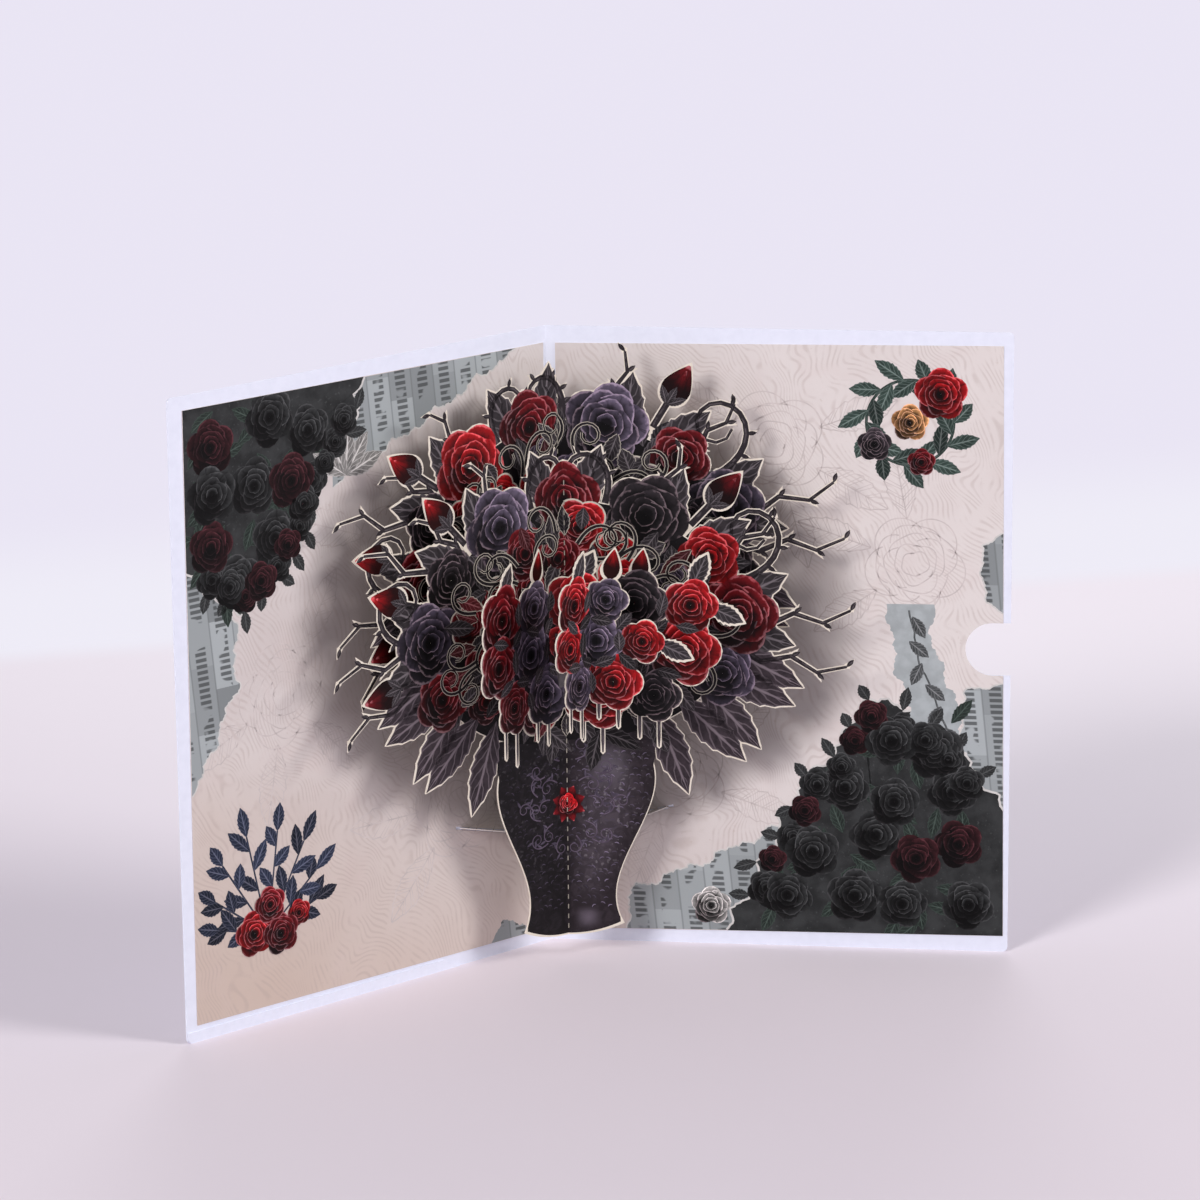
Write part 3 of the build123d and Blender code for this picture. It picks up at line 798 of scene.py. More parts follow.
def nest_leaves(height):
    """Dark leaves in front of the roses, on four rings of the ellipse, so that the roses nestle in them, and
    a cream edge along every other leaf."""
    n = sum(nest_counts)
    turn = np.concatenate([np.linspace(0, 2 * np.pi, count, False) + 0.5 * count for count in nest_counts])
    share = np.repeat(nest_shares, nest_counts) + rng.normal(0, 0.04, n)
    tint = LEAF * rng.uniform(0.15, 1.2, (n, 1))
    tint = tint * np.where(rng.uniform(size=(n, 1)) < 0.25, (2.4, 0.4, 0.45), 1)
    way = np.where(share > 0.8, turn + np.pi, rng.uniform(0, 2 * np.pi, n))
    over = NEST_LIFT + NEST_STEP * np.arange(n)
    length = rng.uniform(7, 13, n)
    made = leaves(inside(height, share, turn), way, length, rng.uniform(4, 6, n), tint, over)
    cut = made[0].flat[::2]
    edges = []
    for side in (0, 4):
        edges += bands(cut[:, :, side], 0.2, CREAM * 0.9, over[::2] - 0.0005)
    return made, edges


print("inside a head:", STREWN, "leaves under the roses and", sum(nest_counts), "over them")

# %% [markdown]
# Now a whole head can be printed: a dark field, the stalks, the leaves, the roses and buds, and the pale
# lines. The roses inside the ring are placed by the golden angle, which spreads any number of them evenly.

# %% Print both heads
GOLDEN = np.radians(137.5)
FILL = 26
BUD_OUT, BUD_LONG, BUD_WIDE = 12.6, 14.6, 10.0
SEPAL_OUT, SEPAL_LONG, SEPAL_WIDE = 12.4, 6.5, 2.6
BUD_LIFT, ROSE_LIFT, SEPAL_LIFT, BASE_LIFT = 0.05, 0.06, 0.1, 0.01


def head_petals(height, shift):
    """The buds, the ring of roses, and smaller roses strewn over the middle by the golden angle; with them
    the cream edges of every other small rose."""
    start, way = around(height, bud_angles + shift)
    tints = np.array([CRIMSON, RED, RED, CRIMSON])
    made = drops(start + BUD_OUT * towards(way), way, BUD_LONG, BUD_WIDE - 2 * EDGE, tints, BUD_LIFT)
    centre, way = around(height, ring_angles + shift)
    tints = np.roll(ring_inks, round(shift / 4), 0)
    depth = ROSE_LIFT + ROSE_DEPTH * (np.arange(len(centre)) % 2)
    made += roses(centre, ring_radii - EDGE, way, tints, depth)
    k = np.arange(FILL)
    spot = inside(height, 0.80 * np.sqrt((k + 0.5) / FILL), k * GOLDEN + 0.4 + 0.1 * shift)
    size = rng.uniform(5.5, 9.5, FILL)
    spin = rng.uniform(0, 6, FILL)
    depth = ROSE_LIFT + ROSE_DEPTH * (2 + k % 3)
    made += roses(spot, size, spin, fill_inks[k % 8], depth)
    edges = bands(lobed(spot[::2], size[::2] + 0.2, spin[::2]), 0.3, CREAM, depth[::2] - 0.004)
    return made, edges


def head_prints(height, shift):
    """Stacks for one head, by ink: field, stalks, leaves, petals and pale lines."""
    start, way = around(height, bud_angles + shift)
    stems = start[:, None] + np.linspace(4, 16, 6)[:, None] * towards(way)[:, None]
    stalks = head_stalks(height, shift) + bands(stems, 1.0, CHARCOAL, STALK_LIFT)
    foliage = head_leaves(height, shift)
    nest, nest_edges = nest_leaves(height)
    foliage += nest
    for swing in (-0.75, 0.0, 0.75):
        foot = start + SEPAL_OUT * towards(way)
        foliage += leaves(foot, way + swing, SEPAL_LONG, SEPAL_WIDE, LEAF, SEPAL_LIFT)
    field = oval(height, HEAD_WIDE - EDGE, HEAD_HIGH - EDGE, CHARCOAL * 0.2, BASE_LIFT)
    petals, pale = head_petals(height, shift)
    pale += nest_edges + pale_tendrils(height, 20)
    return {"field": field, "stalk": stalks, "leaf": foliage, "petal": petals, "drawn": pale}


press_bunch("rear", head_prints(134.0, 12.0))
press_bunch("vase", head_prints(110.0, 0.0))

# %% [markdown]
# ## The vase
#
# The vase is printed near black with a soft grey light down its right side, as on a glazed pot, and raised
# scrolls. Its outline is read from the solid: the points of the vase sheet's edge below the head, measured
# out from the crease. The print is a grid across that width at every height.

# %% Vase print
def vase_finish():
    """Dark glaze, lighter on the right half, with a lengthwise light, carved clouds, a gleam on the shoulder
    and one on the foot, and sparks."""
    page = printed("vase_ink", 0.38)
    across, along, ink = page.across, page.along, page.ink
    light = across.ramp(0.50, 0.74) * across.ramp(0.97, 0.78) * along.ramp(0.02, 0.35) * along.ramp(1.0, 0.6)
    base = across.ramp(0.44, 0.58).blend(ink.times(0.45), ink.times(0.9, (0.004, 0.002, 0.003)))
    colour = (light * 0.85).blend(base, ink.times(1.6, (0.026, 0.021, 0.027)))
    carved = page.place.noise(260.0, 4.0, 1.5).ramp(0.42, 0.66)
    colour = (carved * 0.45).blend(colour, colour.times(1.8, (0.010, 0.008, 0.011)))
    gleam = abs(across - 0.74).ramp(0.16, 0.0) * abs(along - 0.80).ramp(0.16, 0.0)
    colour = (gleam * 0.6).blend(colour, (0.16, 0.14, 0.17, 1))
    foot = abs(across - 0.70).ramp(0.15, 0.0) * abs(along - 0.05).ramp(0.05, 0.0)
    colour = (foot * 0.6).blend(colour, (0.17, 0.14, 0.18, 1))
    spark = page.place.noise(760.0, 1.0).ramp(0.63, 0.69) * (0.3 + light) * along.ramp(0.10, 0.4)
    return inked(page, (spark * 0.3).blend(colour, (0.30, 0.27, 0.30, 1)))


FOOT_AT, NECK_AT = 12.0, 76.0
spots = np.empty(len(nodes["vase_bouquet"].data.vertices) * 3)
nodes["vase_bouquet"].data.vertices.foreach_get("co", spots)
spots = spots.reshape(-1, 3) / MM
reach = spots[:, 0] * np.sin(OPEN) - (spots[:, 1] - layers["vase"].crease[1]) * np.cos(OPEN)
below = (spots[:, 0] > 0) & (spots[:, 2] > 11.6) & (spots[:, 2] < 66)
edge = below & (reach < 28.6) & (reach > 10)
order = np.argsort(spots[edge, 2])
edge_height, edge_reach = spots[edge, 2][order], reach[edge][order]
print(f"vase: {edge.sum()} edge points, {edge_reach.min():.1f} to {edge_reach.max():.1f} mm from the crease")
rows = np.linspace(0, 1, 48)[:, None]
columns = np.linspace(-1, 1, 25)
half = np.interp(FOOT_AT + (NECK_AT - FOOT_AT) * rows, edge_height, edge_reach) - EDGE
bowed = 4.2 * (1 - rows) ** 12 * (columns**2 - 1)
body = np.stack([half * columns, 11.9 + 64.1 * rows + bowed], -1)[None]
press("vase_body_print", layers["vase"], [Print(body, 0.005, CHARCOAL * 0.5)], vase_finish())

# %% [markdown]
# Raised scrolls curl over the belly in mirrored pairs. Each is a tendril with three small leaves, worked out
# for the right half and repeated on the left by turning the sign of its distance from the crease.

# %% Scrolls
BOTH_HALVES = np.array([[[1, 1]], [[-1, 1]]])
scroll_plan = (
    (4, 58, 35.0, 15.0),
    (9, 61, -15.0, 14.0),
    (7, 53, 10.0, 12.0),
    (12, 55, 40.0, 15.0),
    (6, 45, -20.0, 14.0),
    (11, 47, 15.0, 15.0),
    (3, 40, -50.0, 13.0),
    (8, 39, -25.0, 16.0),
    (14, 51, 60.0, 13.0),
    (3, 65, 20.0, 18.0),
)
scrolls = []
for i, (out, height, degrees, size) in enumerate(scroll_plan):
    way = np.radians(degrees)
    path = tendril(size, 420.0 if i % 2 else -420.0)
    right = laid(path, np.array([[out, height]]), np.array([way]))
    scrolls += bands(right * BOTH_HALVES, tapered(path, 0.26, 0.12), LAVENDER * (0.75, 0.7, 0.7), 0.02)
    buds = right[:, [3, 6, 9]] * BOTH_HALVES
    lean = way + np.array([1.0, 2.0, 0.0])
    scrolls += leaves(buds.reshape(-1, 2), np.r_[lean, np.pi - lean], 2.4, 0.9, LAVENDER * 0.6, 0.018)
press("vase_scroll_print", layers["vase"], scrolls, stalk_print)

# %% [markdown]
# Rows of short raised strokes cover the rest of the vase. Each stroke is a bow of four points, brighter on
# the right half, where the glaze catches the light. A red rosette sits on the crease, the ornament that the
# eye goes to, and the strokes leave room for it.

# %% Raised strokes and rosette
ROSETTE_AT = (0.0, 50.5)
row, column = np.mgrid[0:21, -9:10]
flecks = np.stack([(column + 0.5 * (row % 2)) * 2.7, 18.0 + 2.5 * row], -1).reshape(-1, 2)
flecks += rng.normal(0, 0.55, flecks.shape)
room = np.interp(flecks[:, 1], edge_height, edge_reach) - 1.6
clear = np.linalg.norm(flecks - ROSETTE_AT, axis=1) > 7.0
flecks = flecks[(abs(flecks[:, 0]) < room) & (abs(flecks[:, 0]) > 1.4) & clear]
share = np.linspace(-1, 1, 4)[:, None]
bow = share * (0.75, 0.0) - share**2 * (0.0, 0.32)
gleam = rng.uniform(0.25, 1.0, len(flecks)) * np.interp(flecks[:, 0], (-20, 0, 12, 25), (0.3, 0.6, 1.5, 0.9))
strokes = laid(bow, flecks, rng.normal(0, 0.45, len(flecks)))
raised = bands(strokes, 0.15 * np.array([0.4, 1, 1, 0.4]), LAVENDER * 1.1 * gleam[:, None], 0.016)
press("vase_fleck_print", layers["vase"], raised, drawn_print)
star = np.radians(np.arange(8) * 45.0 + 22.5)
rosette = leaves(np.full((8, 2), ROSETTE_AT), star, 6.2, 4.0, CRIMSON * 1.7, 0.03 + 0.003 * np.arange(8))
rosette += roses([ROSETTE_AT], 3.6, 0.0, RED * 1.8, 0.06)
press("vase_rosette_print", layers["vase"], rosette, petal_print)

# %% [markdown]
# ## Front bouquet and spray
#
# Two smaller bunches stand furthest forward: rows of roses with buds and leaves above and drips of paint
# below. Each drip is a narrow band that ends in a point. Both bunches are drawn by the same functions, which
# find the top row, the lowest row and the right flank among the centres.

# %% Parts of a bunch
def level(xs, y):
    """Points at the same height."""
    return np.stack([xs, np.full(len(xs), y)], -1)


def rows_of(top, step, starts, counts, gap):
    """Centres of roses in level rows, each row with its own start and count."""
    plan = enumerate(zip(starts, counts))
    return np.concatenate([level(x + gap * np.arange(n), top - r * step) for r, (x, n) in plan])


def block(middle, deep, wide, tall):
    """A grid of 9 by 25 points over a rectangle."""
    x = np.linspace(-1, 1, 25)
    y = np.linspace(-1, 1, 9)[:, None]
    return np.stack([middle + wide * x * np.ones_like(y), deep + tall * y * np.ones_like(x)], -1)


def drips(fringe, low, radius):
    """Two narrow bands under every rose of the lowest row, shorter by turns, that end in a point."""
    runs = np.array([(x, x) for x in fringe]) + (1.5, -4.5)
    fade = 1 - 0.25 * (np.arange(len(fringe)) % 2)
    hang = radius + 9.0 * fade[:, None] * (1.0, 0.6) - 0.7
    fall = low - hang.reshape(-1, 1) * np.linspace(0, 1, 6)
    paths = np.stack([np.broadcast_to(runs.reshape(-1, 1), fall.shape), fall], -1)
    return bands(paths, 0.5 * np.array([1, 1, 1, 1, 1, 0.4]), CHARCOAL * 2, 0.02)


def gap_leaves(centres, radius):
    """A leaf across the middle of every gap between neighbouring roses, over their rims."""
    apart = np.linalg.norm(centres[:, None] - centres, axis=-1)
    first, second = np.nonzero(np.triu(apart < 2.1 * radius, 1))
    gap = centres[second] - centres[first]
    n = len(gap)
    way = np.arctan2(gap[:, 1], gap[:, 0]) + np.pi / 2 + rng.normal(0, 0.3, n)
    length = rng.uniform(6, 8.5, n)
    nest = centres[first] + gap / 2 - length[:, None] / 2 * towards(way)
    tint = LEAF * rng.uniform(0.3, 1.3, (n, 1))
    over = ROSE_LIFT + 3 * ROSE_DEPTH + NEST_STEP * np.arange(n)
    return leaves(nest, way, length, 3.8, tint, over)


print("a bunch's field has", block(0, 0, 1, 1).shape[:2], "points")

# %% [markdown]
# A bunch is its dark field, its drips, its leaves and its buds and roses. Every second place of the top row
# has a bud and the others have a leaf, and the roses take three sizes by turns, as the die-cut does.

# %% Print both bunches
CROWN_BUD, CROWN_LEAF, FLANK_LEAF = np.radians([80.0, 65.0, -25.0])
SMALL_BUD = (9.8, 5.2)
SMALL_LEAF = (12.0, 5.6)
rose_sizes = np.array([1.12, 0.86, 1.0])


def bunch_prints(centres, radius, colours):
    """Stacks for one bunch, by ink."""
    left, right = centres[:, 0].min(), centres[:, 0].max()
    top, low = centres[:, 1].max(), centres[:, 1].min()
    crown, fringe = (centres[centres[:, 1] == y, 0] for y in (top, low))
    flank = centres[centres[:, 0] == right, 1]
    deep = (top + low) / 2
    core = block(fringe.mean(), deep, (fringe[-1] - fringe[0]) / 2, (top - low) / 2)
    belt = block((left + right) / 2, deep, (right - left) / 2, radius / 2)
    field = [Print(np.stack([core, belt]), np.array([0.005, 0.008]), CHARCOAL * 0.35)]
    tip = level(crown[1::2], top) + (0.7 * radius + 0.6) * towards(CROWN_BUD)
    petals = drops(tip, CROWN_BUD, *SMALL_BUD, RED, 0.03)
    foliage = leaves(level(crown[::2], top + radius / 2), CROWN_LEAF, *SMALL_LEAF, LEAF, 0.02)
    beside = level(flank, right + radius / 2)[:, ::-1]
    foliage += leaves(beside, FLANK_LEAF, *SMALL_LEAF, LEAF, 0.02)
    k = np.arange(len(centres))
    size = radius * rose_sizes[k % 3]
    petals += roses(centres, size - EDGE, 0.0, colours[k % len(colours)], 0.05 + ROSE_DEPTH * (k % 3))
    foliage += gap_leaves(centres, radius)
    return {"field": field, "stalk": drips(fringe, low, radius), "leaf": foliage, "petal": petals}


front_colours = np.array([CRIMSON, LAVENDER, RED, CHARCOAL, RED])
spray_colours = np.array([RED, LAVENDER, RED, LAVENDER * 1.2])
front_roses = rows_of(120.0, 14.5, (-26.0, -28.0, -20.0), (5, 5, 4), 17.5)
spray_roses = rows_of(124.0, 13.0, (-9.0, -12.0, -7.0), (2, 3, 2), 14.0)
press_bunch("front", bunch_prints(front_roses, 10.5, front_colours))
press_bunch("spray", bunch_prints(spray_roses, 8.5, spray_colours))

# %% [markdown]
# ## Creases
#
# The sheets are perforated along their creases so that they fold true, and the paper shows pale between the
# cuts. The dashes are short bands across the crease, cut in two there like every other print.

# %% Perforated creases
DASH, DASH_STEP, DASH_HALF = 1.5, 3.2, 0.53


def dashes(low, high):
    """Upright dashes on the crease, just wide enough to show past the mitre of the fold."""
    foot = np.arange(low, high, DASH_STEP)
    paths = np.stack([np.zeros((len(foot), 2)), np.stack([foot, foot + DASH], -1)], -1)
    return bands(paths, DASH_HALF, CREAM * 0.6, 0.48)


for layer_name, low, high in (("rear", 98.0, 180.0), ("vase", 9.5, 156.0)):
    press(f"{layer_name}_crease_print", layers[layer_name], dashes(low, high), drawn_print)

# %% [markdown]
# ## Liners
#
# Each liner is printed as a collage on parchment: a dark field of roses across a corner, grey scraps along
# its torn edge, and a posy or a wreath. A torn edge is a run of points pushed sideways by waves of several
# lengths. A field is a fan from a hub inside it, and a scrap is ruled between two edges. Places are measured
# from the middle of the liner, which is glued a little askew.

# %% Torn shapes
LEFT, RIGHT = -1, 1
RIGHT_EDGE, TOP_EDGE = 69.25, 95.25
LINER_MIDDLE = 99.9
TEAR_HOLD = 6.0
sides = {LEFT: "left", RIGHT: "right"}
liner_places = {LEFT: (-70.9, np.radians(-0.4)), RIGHT: (73.2, np.radians(0.5))}
tear_lengths = np.array([17.0, 9.0, 4.7, 2.3, 1.2])
tear_heights = np.array([1.3, 0.8, 0.45, 0.3, 0.2])


def torn(points, rough=1.0, count=150):
    """Straight runs between points, pushed sideways by five waves, and left alone near both ends."""
    points = np.asarray(points, float)
    run = np.r_[0, np.cumsum(np.linalg.norm(np.diff(points, axis=0), axis=1))]
    at = np.linspace(0, run[-1], count)
    line = np.stack([np.interp(at, run, points[:, 0]), np.interp(at, run, points[:, 1])], -1)
    way = np.gradient(line, axis=0)
    way /= np.linalg.norm(way, axis=1, keepdims=True)
    wave = np.sin(2 * np.pi * at[:, None] / tear_lengths + rng.uniform(0, 6, 5)) @ tear_heights
    hold = np.clip(np.minimum(at, run[-1] - at) / TEAR_HOLD, 0, 1)
    return line + (rough * hold * wave)[:, None] * np.stack([-way[:, 1], way[:, 0]], -1)


def ruled(first, second, ink, lift):
    """A patch of straight lines from one run of points to another, or to a single hub."""
    share = np.linspace(0, 0.995, 14)[:, None, None]
    flat = first + share * (np.asarray(second) - first)
    return Print(flat[None], lift, ink, True)


def straight(start, end, count=150):
    """Points along a straight run."""
    return np.linspace(start, end, count)


def closed(tear, corner):
    """A torn edge, and the liner's own edges back to its start by way of the corner."""
    return np.concatenate([tear, straight(tear[-1], corner, 75), straight(corner, tear[0], 75)])


print("a field's outline has", len(closed(straight((0, 0), (1, 1)), (0, 1))), "points")

# %% [markdown]
# Pasting is what the maker of the real collage does with glue: a print is trimmed to the liner, turned with
# it and pressed on. The scraps look like cuttings from an old page, columns of grey blocks with rows of short
# dark ticks. Columns and rows are whole steps of the flat place in millimetres, so this ink needs no picture.

# %% Paste and scrap ink
COLUMN, BLOCK, ROW = 8.5, 21.0, 1.9


def paste(name, side, prints, material):
    """Draws prints back to a liner's edges, turns them by its skew, moves them to its place and presses
    them on."""
    middle, skew = liner_places[side]
    turn = np.array([[np.cos(skew), np.sin(skew)], [-np.sin(skew), np.cos(skew)]])
    edge = np.array([RIGHT_EDGE, TOP_EDGE])
    placed = []
    for item in prints:
        flat = np.clip(item.flat, -edge, edge) @ turn + (middle, LINER_MIDDLE)
        placed.append(item._replace(flat=flat))
    press(name, layers["liner"], placed, material)


def scrap_ink():
    """Columns of blocks in greys, each ruled with short dark ticks along its middle."""
    page = printed("scrap_ink", 0.6)
    column = page.across * (1 / COLUMN) + page.along * 0.012
    number = column.maths("FLOOR")
    brick = (page.along * (1 / BLOCK) + number * 0.37).maths("FLOOR")
    spot = page.place.node("ShaderNodeCombineXYZ", {}, {0: number, 1: brick})
    tone = page.place.node("ShaderNodeTexWhiteNoise", {"noise_dimensions": "2D"}, {"Vector": spot})
    off = column.off_middle()
    tick = (page.along * (1 / ROW)).off_middle().ramp(0.34, 0.26) * off.ramp(0.26, 0.2)
    tick = tick * page.place.noise(150.0, 1.0).ramp(0.44, 0.50)
    colour = tone.blend(page.ink.times(0.62), page.ink.times(1.15))
    colour = (off.ramp(0.45, 0.49) * 0.5).blend(colour, page.ink.times(0.4))
    return inked(page, (tick * 0.8).blend(colour, page.ink.times(0.16)))


scrap_print = scrap_ink()
print("scrap columns are", COLUMN, "mm wide")

# %% [markdown]
# The dark field fills the upper left corner of the left liner. The scraps go on first, then the pale rims
# that torn white paper shows, and the field goes over them. One function does this for both liners, from a
# tear, the corner behind it, a hub inside the field, and the scraps.

# %% Left liner: field and scraps
GREY = np.array([0.36, 0.39, 0.40])
PALE = np.array([0.62, 0.60, 0.58])
SHADE = np.array([0.041, 0.043, 0.044])
RIM_LIFT, SCRAP_LIFT, TEAR_LIFT, FIELD_LIFT = 0.003, 0.004, 0.007, 0.010
RIM_HALF, TEAR_HALF = 0.5, 0.7


def collage(side, tear, corner, hub, scraps, rimmed):
    """Pastes a liner's scraps, the pale rims of its tear and of its first scraps, and its dark field. A scrap
    is a torn edge and the two ends of the straight run across from it."""
    grey = [ruled(edge, straight(*ends), GREY, SCRAP_LIFT) for edge, ends in scraps]
    rims = bands([tear], TEAR_HALF, PALE, TEAR_LIFT)
    rims += bands([edge for edge, _ in scraps[:rimmed]], RIM_HALF, PALE, RIM_LIFT)
    field = ruled(closed(tear, corner), hub, SHADE, FIELD_LIFT)
    paste(f"{sides[side]}_scrap_print", side, grey, scrap_print)
    paste(f"{sides[side]}_tear_print", side, rims, drawn_print)
    paste(f"{sides[side]}_field_print", side, [field], field_print)


left_tear = torn([(-1.5, TOP_EDGE), (-8, 80), (-22, 60), (-25, 49), (-38, 37), (-51, 31), (-RIGHT_EDGE, 46)])
low = torn([(-14, 63), (-8, 68), (12, 74), (32, 83), (58, TOP_EDGE)], 0.7)
beside = torn([(-66, 50), (-52, 36), (-52, 8), (-64, -15), (-RIGHT_EDGE, -23)], 0.7)
foot = torn([(46, -TOP_EDGE), (51, -89), (59, -91), (63, -TOP_EDGE)], 0.4)
scraps = (
    (low, ((-14, TOP_EDGE), (58, TOP_EDGE))),
    (beside, ((-RIGHT_EDGE, 50), (-RIGHT_EDGE, -23))),
    (foot, ((46, -TOP_EDGE), (63, -TOP_EDGE))),
)
collage(LEFT, left_tear, (-RIGHT_EDGE, TOP_EDGE), (-45, 70), scraps, 2)

# %% [markdown]
# The right liner has its field in the lower right corner, below the thumb notch, and scraps above and below
# the notch. A rag of grey paper hangs over the field, with a sprig of dark leaves on it.

# %% Right liner: field, scraps and sprig
RAG_LIFT, STEM_LIFT, SPRIG_LIFT = 0.012, 0.014, 0.016
outline = [(RIGHT_EDGE, -54), (57, -37), (39, -20), (26, -19), (19, -33), (3, -51), (-4, -70)]
right_tear = torn(outline + [(-18, -TOP_EDGE)])
low = torn([(-50, -TOP_EDGE), (-48, -82), (-26, -73), (-4, -62), (6, -56)], 0.7)
upper = torn([(RIGHT_EDGE, 36), (63, 32), (63.5, 15), (RIGHT_EDGE, 10.5)], 0.4)
lower = torn([(RIGHT_EDGE, -12.5), (58, -15), (56, -28), (60, -45), (RIGHT_EDGE, -53)], 0.4)
scraps = (
    (low, ((-50, -TOP_EDGE), (6, -TOP_EDGE))),
    (upper, ((RIGHT_EDGE, 36), (RIGHT_EDGE, 10.5))),
    (lower, ((RIGHT_EDGE, -12.5), (RIGHT_EDGE, -53))),
)
collage(RIGHT, right_tear, (RIGHT_EDGE, -TOP_EDGE), (30, -70), scraps, 3)
rag_left = torn([(33, 13), (36, -8), (41, -24), (50, -31)], 0.6)
rag_right = torn([(48, 13), (47, 0), (54, -16), (58, -35)], 0.6)
paste("right_rag_print", RIGHT, [ruled(rag_left, rag_right, GREY * 1.1, RAG_LIFT)], drawn_print)
sprig_at = np.array([[41, 9], [40, 1], [44, -6], [45, -13], [50, -20], [51, -27]])
sprig_ways = np.radians([300.0, 320, 245, 320, 240, 310])
sprig = leaves(sprig_at, sprig_ways, 8.0, 4.2, GREY * 0.3, SPRIG_LIFT)
paste("right_sprig_print", RIGHT, sprig, leaf_print)
sprig_stem = bands([torn([(40, 11), (43, -5), (52, -28)], 0.2, 24)], 0.3, GREY * 0.3, STEM_LIFT)
paste("right_sprig_stem_print", RIGHT, sprig_stem, stalk_print)

# %% [markdown]
# The dark fields are beds of roses in the half-light. Roses and leaves also stand along the tear, so that the
# bed has a leafy edge and the torn rim shows only between them.

# %% Roses in the dark fields
EMBER = np.array([0.055, 0.014, 0.018])
BED_LEAVES = 40
RIM_FROM, RIM_STEP = 14, 11
left_bed = [(-57, 83), (-40, 86), (-23, 82), (-60, 66), (-44, 69), (-29, 66), (-40, 52), (-57, 51), (-50, 40)]
right_bed = [(57, -83), (38, -86), (20, -82), (1, -85), (58, -64), (42, -69), (26, -64), (9, -67), (52, -49)]
right_bed += [(36, -51), (22, -47), (33, -33), (47, -36)]


def bed_prints(bed, tear):
    """Roses over a dark field and along its tear, and leaves that point out over the tear or lie strewn among
    the roses."""
    rim = tear[RIM_FROM:-RIM_FROM:RIM_STEP]
    outward = rim - bed.mean(0)
    centres = np.concatenate([bed + rng.normal(0, 1.5, bed.shape), rim + 0.12 * (bed.mean(0) - rim)])
    n = len(centres)
    size = np.r_[rng.uniform(8.0, 9.5, len(bed)), rng.uniform(4.0, 6.5, len(rim))]
    tint = np.where((rng.uniform(size=n) < 0.3)[:, None], EMBER, SHADE * 1.15)
    bloom = roses(centres, size, rng.uniform(0, 6, n), tint, 0.03 + ROSE_DEPTH * (np.arange(n) % 2))
    way = np.arctan2(outward[:, 1], outward[:, 0]) + rng.normal(0, 0.5, len(rim))
    sprigs = leaves(rim, way, rng.uniform(5, 8, len(rim)), 4.0, SHADE * 1.2, 0.02)
    strewn = bed[rng.integers(0, len(bed), BED_LEAVES)] + rng.normal(0, 4.0, (BED_LEAVES, 2))
    order = 0.016 + 0.0002 * np.arange(BED_LEAVES)
    way = rng.uniform(0, 6, BED_LEAVES)
    sprigs += leaves(strewn, way, 10.0, 4.5, SHADE * (0.9, 1.2, 1.0), order)
    return bloom, sprigs


for side, bed, tear in ((LEFT, left_bed, left_tear), (RIGHT, right_bed, right_tear)):
    bloom, sprigs = bed_prints(np.array(bed), tear)
    paste(f"{sides[side]}_field_rose_print", side, bloom, dusk_print)
    paste(f"{sides[side]}_field_leaf_print", side, sprigs, dusk_leaf_print)

# %% [markdown]
# A posy stands in the lower left. Its stalks fan out from one root, with four leaves on each, and a few roses
# cover the root. It is laid out from the same roses and leaves as the bouquet, in blue.

# %% Posy
STEM_BASE, BLADE_BASE, BLOOM_BASE = 0.008, 0.012, 0.05
NAVY = np.array([0.030, 0.040, 0.075])
root = np.array([-42.0, -72.0])
stems = np.radians(np.linspace(20, 165, 8))
reach = np.array([20.0, 25, 30, 32, 33, 30, 24, 19])
tips = root + reach[:, None] * towards(stems)
posy_stalks = bands(root + np.linspace(0, 1, 8)[:, None] * (tips - root)[:, None], 0.3, NAVY, STEM_BASE)
share = np.array([0.45, 0.65, 0.85, 1.0])
knots = (root + share[:, None] * (tips - root)[:, None]).reshape(-1, 2)
swing = np.repeat(stems, 4) + np.tile([0.7, -0.7, 0.6, 0.0], 8)
blue = NAVY * rng.uniform(0.4, 1.3, (32, 1))
length = rng.uniform(7, 11, 32)
posy_leaves = leaves(knots, swing, length, 4.6, blue, BLADE_BASE + 0.001 * np.arange(32))
bloom_at = [[-47, -71], [-37, -73], [-41, -63], [-30, -68]]
bloom_ink = np.array([RED, CRIMSON, CRIMSON * 1.6, RED])
depth = BLOOM_BASE + (ROSE_DEPTH * np.arange(4)) % 0.2
posy_roses = roses(bloom_at, [7.5, 7.0, 6.0, 4.5], 0.5, bloom_ink, depth)
paste("posy_stalk_print", LEFT, posy_stalks, stalk_print)
paste("posy_leaf_print", LEFT, posy_leaves, leaf_print)
paste("posy_rose_print", LEFT, posy_roses, petal_print)

# %% [markdown]
# A wreath hangs in the upper right: leaves that swing in and out by turns along a hoop, with roses on it and
# an amber one in its middle. A pale rose lies at the foot of the same liner, and a fan of pale leaves at the
# top of the left one.

# %% Wreath and fan
PINE = np.array([0.040, 0.065, 0.055])
AMBER = np.array([0.75, 0.36, 0.14])
HOOP = 13.5
HOOP_LEAVES = 22
hub = np.array([40.5, 71.0])
hoop = hub + HOOP * towards(np.linspace(0, 2 * np.pi, 61))
k = np.arange(HOOP_LEAVES)
turn = np.radians(k * 360 / HOOP_LEAVES)
way = turn + np.pi / 2 + np.where(k % 2, 0.75, -0.75)
pine = PINE * rng.uniform(0.6, 1.7, (HOOP_LEAVES, 1))
length = rng.uniform(8, 11, HOOP_LEAVES)
wreath_leaves = leaves(hub + HOOP * towards(turn), way, length, 5.0, pine, BLADE_BASE + 0.001 * k)
bloom_at = [[50, 80], [29.5, 64], [44, 58.5], hub, [-23, -87]]
bloom_ink = np.array([RED, CHARCOAL * 2, CRIMSON, AMBER, PALE])
wreath_roses = roses(bloom_at, [8.5, 5.5, 4.5, 6.0, 6.5], 0.3, bloom_ink, BLOOM_BASE)
way = np.radians([20.0, 55, 85, 115, 145])
